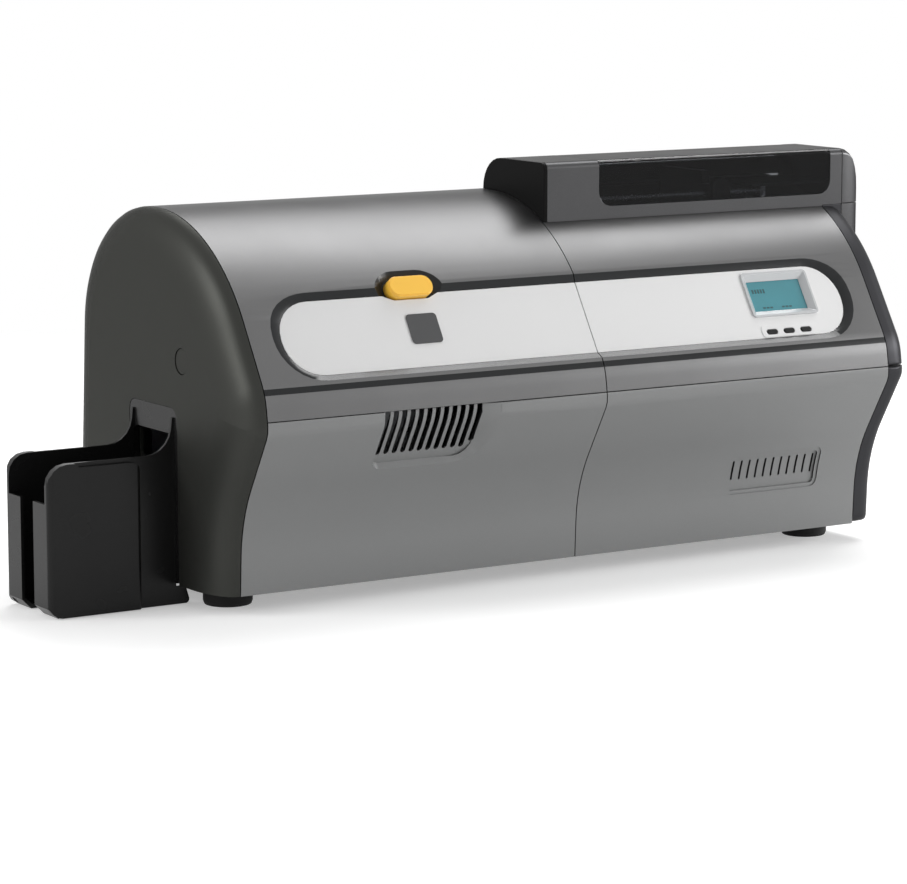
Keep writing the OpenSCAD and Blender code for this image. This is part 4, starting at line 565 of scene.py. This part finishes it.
def finished(node_name, edge, segments=2, second=None, picks=None):
    """A softened copy of a CAD node that rides on the node's body and stands for it."""
    mesh = frame["nodes"][node_name].data.copy()
    bm = bmesh.new()
    bm.from_mesh(mesh)
    bmesh.ops.remove_doubles(bm, verts=bm.verts, dist=0.002 * MM)
    bmesh.ops.dissolve_limit(bm, angle_limit=math.radians(0.05), verts=bm.verts, edges=bm.edges,
                             use_dissolve_boundaries=False)
    bm.to_mesh(mesh)
    bm.free()
    mesh.materials.clear()
    mesh.materials.append(MATERIALS[SLOT_OF[node_name]])
    piece = bpy.data.objects.new("dressed_" + node_name, mesh)
    bpy.context.scene.collection.objects.link(piece)
    bevel = piece.modifiers.new("edge", "BEVEL")
    bevel.width = edge
    bevel.segments = segments
    bevel.limit_method = "ANGLE"
    bevel.angle_limit = math.radians(CORNER)
    bevel.use_clamp_overlap = True
    bevel.miter_outer = "MITER_ARC"
    as_mesh(piece)
    if second:
        piece.data.materials.append(MATERIALS[second])
        for face in piece.data.polygons:
            face.material_index = 1 if picks(face.center / MM, face.normal) else 0
    smooth_by_angle(piece.data, CREASE)
    even = piece.modifiers.new("even", "WEIGHTED_NORMAL")
    even.keep_sharp = True
    as_mesh(piece)
    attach(piece, BODY_OF[node_name])
    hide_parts(node_name)
    return piece


print("dressing ready")

# %% [markdown]
# ## The sloping face
# Trim, display, keys and button lie in one plane that leans back. Its own frame makes the later
# cells simple: x along the band, s up the slope, n out of it. The constants are the ones from
# which the CAD was drawn, in millimetres and degrees. Above the flat part the surface is the crown,
# a cylinder, so there the depth is counted from its radius.

# %% Frame of the sloping face
LEAN = math.radians(58)
FOOT_Y = -127.376
FOOT_Z = 173.525
FLAT_END = 43.58
CROWN_Y = 22.94
CROWN_Z = 131.0
CROWN_R = 150.0
MIDDLE_X = 50.7


def face_place(x, s, n):
    """A point of the sloping face, in metres in the frame of the CAD."""
    return Vector((x + MIDDLE_X, FOOT_Y + s * math.cos(LEAN) - n * math.sin(LEAN),
                   FOOT_Z + s * math.sin(LEAN) + n * math.cos(LEAN))) * MM


def face_coordinates(point):
    """x, s and the depth below the moulded surface of a point in millimetres."""
    y = point.y - FOOT_Y
    z = point.z - FOOT_Z
    s = y * math.cos(LEAN) + z * math.sin(LEAN)
    n = z * math.cos(LEAN) - y * math.sin(LEAN)
    if s > FLAT_END:
        n = math.hypot(point.y - CROWN_Y, point.z - CROWN_Z) - CROWN_R
    return point.x - MIDDLE_X, s, n


def painted_shade_sunk_faces(point, normal):
    """True for the sides of the trim's recess and of the button's notch, which get painted shade."""
    _, s, n = face_coordinates(point)
    return -12 < s < 92 and -7.4 < n < -0.25


print("band's foot at", [round(v * 1000, 1) for v in face_place(0, 0, 0)])

# %% [markdown]
# ## Upper covers
# The two upper covers are one smooth curve with a sunk band. On the real object the sides of the
# sunk band look nearly black, because they face away from the light, and they are glossy. That
# shade is painted here: they get a near-black glossy finish, chosen by how deep a face lies under
# the curve.

# %% Dress the upper covers
for name in ("print_cover", "right_cover"):
    piece = finished(name, SHELL_EDGE, second="recess_grey", picks=painted_shade_sunk_faces)
    print(name, len(piece.data.polygons), "faces")

# %% [markdown]
# ## Lower panels and base
# The lower panels are plain grey mouldings with vents. The walls of the slots get painted shade,
# a near-black finish, as no light reaches them. The base pan and the rear panel are black grained
# mouldings.

# %% Dress the lower panels
def painted_shade_slot_wall(point, normal):
    """True for faces inside the vents' slots, which lie behind the chin and look sideways; they get
    painted shade.
    """
    behind_chin = 60 < point.z < 143 and -136 < point.y < -90 and abs(point.x) < 290
    return behind_chin and abs(normal.x) > 0.9


for name in ("front_left_panel", "front_right_panel"):
    piece = finished(name, PANEL_EDGE, second="slot_dark", picks=painted_shade_slot_wall)
    print(name, len(piece.data.polygons), "faces")
for name in ("rear_panel", "base_pan"):
    finished(name, PANEL_EDGE)

# %% [markdown]
# ## End caps and plug
# The caps are deep pillows: their rounding is in the CAD already, so only their rims get an edge.
# The plug closes a hole in the left cap and shows as a thin ring, for which it gets a wider edge.

# %% Dress the end caps
for name in ("left_end_cap", "right_upper_cap", "right_lower_cap"):
    piece = finished(name, SHELL_EDGE)
    print(name, len(piece.data.polygons), "faces")
finished("cap_plug", 0.9 * MM, segments=3)

# %% [markdown]
# ## Feeder
# The feeder is a box with a rounded end and a drawer under it. Its left end plate is black, and
# the lid's front is clear. Its flat tops look black because they reflect a dark surrounding, and
# that dark reflection is painted: one moulding carries both front and top, so the pieces get the
# black finish on the faces that look up, and the rounded edge of the lid keeps the gloss of the
# window.

# %% Dress the feeder
def painted_dark_top(point, normal):
    """True for the flat top, which gets a painted dark reflection."""
    return normal.z > 0.9


for name in ("feeder_housing", "feeder_end_plate", "feeder_end_cap"):
    piece = finished(name, SHELL_EDGE, second="end_black", picks=painted_dark_top)
    print(name, len(piece.data.polygons), "faces")
for name in ("reject_housing", "reject_bin"):
    finished(name, SHELL_EDGE)
# The lid's flat top also gets the painted dark reflection.
finished("feeder_lid", 0.25 * MM, second="end_black", picks=painted_dark_top)

# %% [markdown]
# ## Output hopper
# A black polished moulding of thin walls. What draws it in the photograph is the light along its
# rims, so its edges are rounder than the others.

# %% Dress the hopper
piece = finished("output_hopper", RIM_EDGE, segments=3)
print("hopper", len(piece.data.polygons), "faces")

# %% [markdown]
# ## Trim and controls
# The trim is glossy white, the badge a bare dark tile, the button amber and the keys black. Small
# parts have small edges.

# %% Dress the trim and the controls
for name in ("left_trim", "right_trim", "badge_tile", "display_bezel", "display_module",
             "key_left", "key_middle", "key_right"):
    finished(name, SMALL_EDGE)
finished("cover_button", SHELL_EDGE, segments=3)
print("trim and controls")

# %% [markdown]
# ## Rollers, spools and shafts
# Turned parts are round in the CAD, so they need only their finish and a small edge.

# %% Dress what turns
for name in ("exit_roller", "platen_roller", "entry_roller", "exit_pinch_roller", "cleaning_roller",
             "ribbon_supply", "ribbon_takeup", "motor_pulley", "fan_rotor", "latch_pin",
             "cover_hinge_pin", "lid_hinge_pin", "ribbon_guides", "pusher_rod"):
    finished(name, SHEET_EDGE)
print("turned parts")

# %% [markdown]
# ## Frame, board and fittings
# Sheet metal, boards and small mouldings inside and behind the shells. They show when the covers
# are open, through the window and from the rear.

# %% Dress the inside
for name in ("card_tray", "card_pusher", "cover_latch", "power_inlet", "power_switch", "data_ports",
             "fan_housing", "printhead", "card_flipper", "main_board", "power_supply", "drive_motor",
             "chassis_front", "chassis_rear", "drive_belt", "ribbon_film"):
    finished(name, SHEET_EDGE)
print("inside pieces")

# %% [markdown]
# ## Feet
# Round rubber feet with a moulded grip, seen at the two front corners.

# %% Dress the feet
for name in ("foot_front_left", "foot_front_right", "foot_rear_left", "foot_rear_right"):
    finished(name, RIM_EDGE, segments=3)
print("feet")

# %% [markdown]
# ## Things that repeat
# Screws, the segments on the display and the rings of the fan's guard repeat one form. Geometry
# Nodes do that well: the tree holds the form once and copies it, and its inputs hold the sizes, so
# a change of size is one number. Each tree ends in plain mesh with its finish, as the exported
# model has no instances.

# %% Helpers for Geometry Nodes
MATERIAL = "NodeSocketMaterial"
INTEGER = "NodeSocketInt"


def grower(name, inputs):
    """An empty Geometry Nodes tree with named inputs after its geometry."""
    tree = bpy.data.node_groups.new(name, "GeometryNodeTree")
    tree.interface.new_socket("Geometry", in_out="INPUT", socket_type="NodeSocketGeometry")
    for label, kind in inputs:
        tree.interface.new_socket(label, in_out="INPUT", socket_type=kind)
    tree.interface.new_socket("Geometry", in_out="OUTPUT", socket_type="NodeSocketGeometry")
    return tree, tree.nodes.new("NodeGroupInput"), tree.nodes.new("NodeGroupOutput")


def plain_and_dressed(tree, geometry, gi, go):
    """The end of each tree: instances made real, with the finish of the inputs."""
    real = node(tree, "GeometryNodeRealizeInstances", [("Geometry", geometry)])
    node_with_finish = node(tree, "GeometryNodeSetMaterial",
                            [("Geometry", real.outputs[0]), ("Material", gi.outputs["Finish"])])
    tree.links.new(node_with_finish.outputs[0], go.inputs["Geometry"])
    print(tree.name, len(tree.nodes), "nodes")


def grown(name, tree, points, values):
    """A piece that a tree grows from points, as plain mesh on the printer's body."""
    mesh = bpy.data.meshes.new(name)
    mesh.from_pydata([tuple(point) for point in points], [], [])
    piece = bpy.data.objects.new(name, mesh)
    bpy.context.scene.collection.objects.link(piece)
    mesh.materials.append(values["Finish"])
    maker = piece.modifiers.new("grow", "NODES")
    maker.node_group = tree
    for item in tree.interface.items_tree:
        if item.item_type == "SOCKET" and item.in_out == "INPUT" and item.name in values:
            maker[item.identifier] = values[item.name]
    as_mesh(piece)
    smooth_by_angle(piece.data, 30)
    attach(piece, "printer")
    print(name, len(piece.data.polygons), "faces")


print("growing ready")

# %% [markdown]
# ### Screws
# Pan heads with a cross recess hold the rear panel and the base pan. The head is a short cylinder
# from which two small bars are cut, set on every point and turned to face out of its surface.

# %% The tree of the screws
screw_tree, gi, go = grower(
    "Cross Recess Screws",
    [("Radius", FLOAT), ("Height", FLOAT), ("Turn", VECTOR), ("Finish", MATERIAL)])
head = node(screw_tree, "GeometryNodeMeshCylinder",
            [("Radius", gi.outputs["Radius"]), ("Depth", gi.outputs["Height"])], in_Vertices=20)
cuts = []
for sides in ((1.3, 0.3, 0.8), (0.3, 1.3, 0.8)):
    scaled = node(screw_tree, "ShaderNodeVectorMath", [("Scale", gi.outputs["Radius"])],
                  operation="SCALE", n0=sides)
    cube = node(screw_tree, "GeometryNodeMeshCube", [("Size", scaled.outputs[0])])
    lifted = node(screw_tree, "ShaderNodeCombineXYZ", [("Z", gi.outputs["Height"])])
    cuts.append(node(screw_tree, "GeometryNodeTransform",
                     [("Geometry", cube.outputs[0]), ("Translation", lifted.outputs[0])]))
carve = node(screw_tree, "GeometryNodeMeshBoolean", operation="DIFFERENCE")
screw_tree.links.new(head.outputs["Mesh"], carve.inputs["Mesh 1"])
for cut in cuts:
    screw_tree.links.new(cut.outputs[0], carve.inputs["Mesh 2"])
spread = node(screw_tree, "GeometryNodeInstanceOnPoints",
              [("Points", gi.outputs["Geometry"]), ("Instance", carve.outputs["Mesh"]),
               ("Rotation", gi.outputs["Turn"])])
plain_and_dressed(screw_tree, spread.outputs[0], gi, go)

# %% [markdown]
# ### The places of the screws
# Eight screws hold the rear panel, in two rows on its leaning wall, and eight hold the base pan from
# below. The panel leans 18 mm over its 266 mm, so its screws lean with it.

# %% Screws of the rear panel and of the base pan
REAR_FOOT_Y = 137.1
REAR_LEAN = 18 / 266
PAN_Z = 15


def rear_place(x, z):
    """A point on the leaning rear wall, in metres."""
    return Vector((x, REAR_FOOT_Y - REAR_LEAN * (z - PAN_Z), z)) * MM


head_size = {"Radius": 3.2 * MM, "Height": 1.6 * MM, "Finish": MATERIALS["steel"]}
rear_turn = (math.radians(-90) + math.atan(REAR_LEAN), 0, 0)
rear_points = [rear_place(x, z) for x in (-218, -40, 130, 298) for z in (28, 172)]
grown("rear_screws", screw_tree, rear_points, {**head_size, "Turn": rear_turn})
pan_points = [Vector((x, y, PAN_Z)) * MM for x in (-180, -60, 100, 250) for y in (-66, 116)]
grown("pan_screws", screw_tree, pan_points, {**head_size, "Turn": (math.pi, 0, 0)})

# %% [markdown]
# ### Bars
# A display's segments are small dark bars. One bar is copied to each point and turned to lie on the
# glass, so a row of any length comes from a list of places.

# %% The tree of the bars
bar_tree, gi, go = grower(
    "Bars On Points", [("Size", VECTOR), ("Turn", VECTOR), ("Finish", MATERIAL)])
cube = node(bar_tree, "GeometryNodeMeshCube", [("Size", gi.outputs["Size"])])
spread = node(bar_tree, "GeometryNodeInstanceOnPoints",
              [("Points", gi.outputs["Geometry"]), ("Instance", cube.outputs["Mesh"]),
               ("Rotation", gi.outputs["Turn"])])
plain_and_dressed(bar_tree, spread.outputs[0], gi, go)

# %% [markdown]
# ### Segments on the display
# The panel shows a line of dark segments at its top left and two groups of short marks at its foot.
# They stand for writing without being any.

# %% Segments and foot marks
moulded("segment_dark", (0.012, 0.075, 0.085), 0.3, depth=0.0, dust=0.0)
GLASS_N = -6.34
DISPLAY_X = 180.5
DISPLAY_S = 36.0
BAR_HEIGHT = 0.06 * MM

segment_look = {"Turn": (LEAN, 0, 0), "Finish": MATERIALS["segment_dark"]}
upper = [face_place(DISPLAY_X - 21 + 2.6 * k, DISPLAY_S + 4.5, GLASS_N) for k in range(5)]
grown("display_segments", bar_tree, upper,
      {**segment_look, "Size": (1.5 * MM, 3.4 * MM, BAR_HEIGHT)})
marks_x = (-15, -11.6, -8.2, 3, 6.4, 9.8)
lower = [face_place(DISPLAY_X + x, DISPLAY_S - 9.5, GLASS_N) for x in marks_x]
grown("display_foot_marks", bar_tree, lower,
      {**segment_look, "Size": (2.4 * MM, 1.3 * MM, BAR_HEIGHT)})

# %% [markdown]
# ### Guard of the fan
# A wire guard covers the fan behind the rear panel: rings of one wire, evenly spaced. A circle is
# copied once for each ring, the copy's number sets its radius, and a thin profile turns the
# circles into wire. This piece follows a rule exactly, so its count and spacing are inputs.

# %% The tree of the guard
guard_tree, gi, go = grower(
    "Ring Guard",
    [("Rings", INTEGER), ("Spacing", FLOAT), ("Wire", FLOAT), ("Centre", VECTOR), ("Turn", VECTOR),
     ("Finish", MATERIAL)])
places = node(guard_tree, "GeometryNodeMeshLine", [("Count", gi.outputs["Rings"])])
places.inputs["Offset"].default_value = (0, 0, 0)
ring = node(guard_tree, "GeometryNodeCurvePrimitiveCircle", in_Resolution=48)
ring.inputs["Radius"].default_value = 1.0
number = node(guard_tree, "GeometryNodeInputIndex")
ordinal = reckon(guard_tree, "ADD", number.outputs[0], 1.0)
radius = reckon(guard_tree, "MULTIPLY", ordinal, gi.outputs["Spacing"])
scale = node(guard_tree, "ShaderNodeCombineXYZ", [(0, radius), (1, radius), (2, radius)])
spread = node(guard_tree, "GeometryNodeInstanceOnPoints",
              [("Points", places.outputs["Mesh"]), ("Instance", ring.outputs["Curve"]),
               ("Scale", scale.outputs[0])])
plain = node(guard_tree, "GeometryNodeRealizeInstances", [("Geometry", spread.outputs[0])])
profile = node(guard_tree, "GeometryNodeCurvePrimitiveCircle",
               [("Radius", gi.outputs["Wire"])], in_Resolution=8)
wires = node(guard_tree, "GeometryNodeCurveToMesh",
             [("Curve", plain.outputs[0]), ("Profile Curve", profile.outputs["Curve"])])
stand = node(guard_tree, "GeometryNodeTransform",
             [("Geometry", wires.outputs[0]), ("Translation", gi.outputs["Centre"]),
              ("Rotation", gi.outputs["Turn"])])
plain_and_dressed(guard_tree, stand.outputs[0], gi, go)

# %% [markdown]
# ### The guard on the fan
# The guard stands in the mouth of the fan's housing, whose box gives its centre, so it follows the
# CAD if the fan is moved.

# %% The guard, over the fan's housing
fan_low, fan_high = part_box("fan_housing")
fan_middle = ((fan_low[0] + fan_high[0]) / 2, fan_high[1] - 1.4 * MM, (fan_low[2] + fan_high[2]) / 2)
grown("fan_guard", guard_tree, [(0, 0, 0)],
      {"Rings": 5, "Spacing": 4.8 * MM, "Wire": 0.6 * MM, "Centre": fan_middle,
       "Turn": (math.radians(90), 0, 0), "Finish": MATERIALS["steel"]})
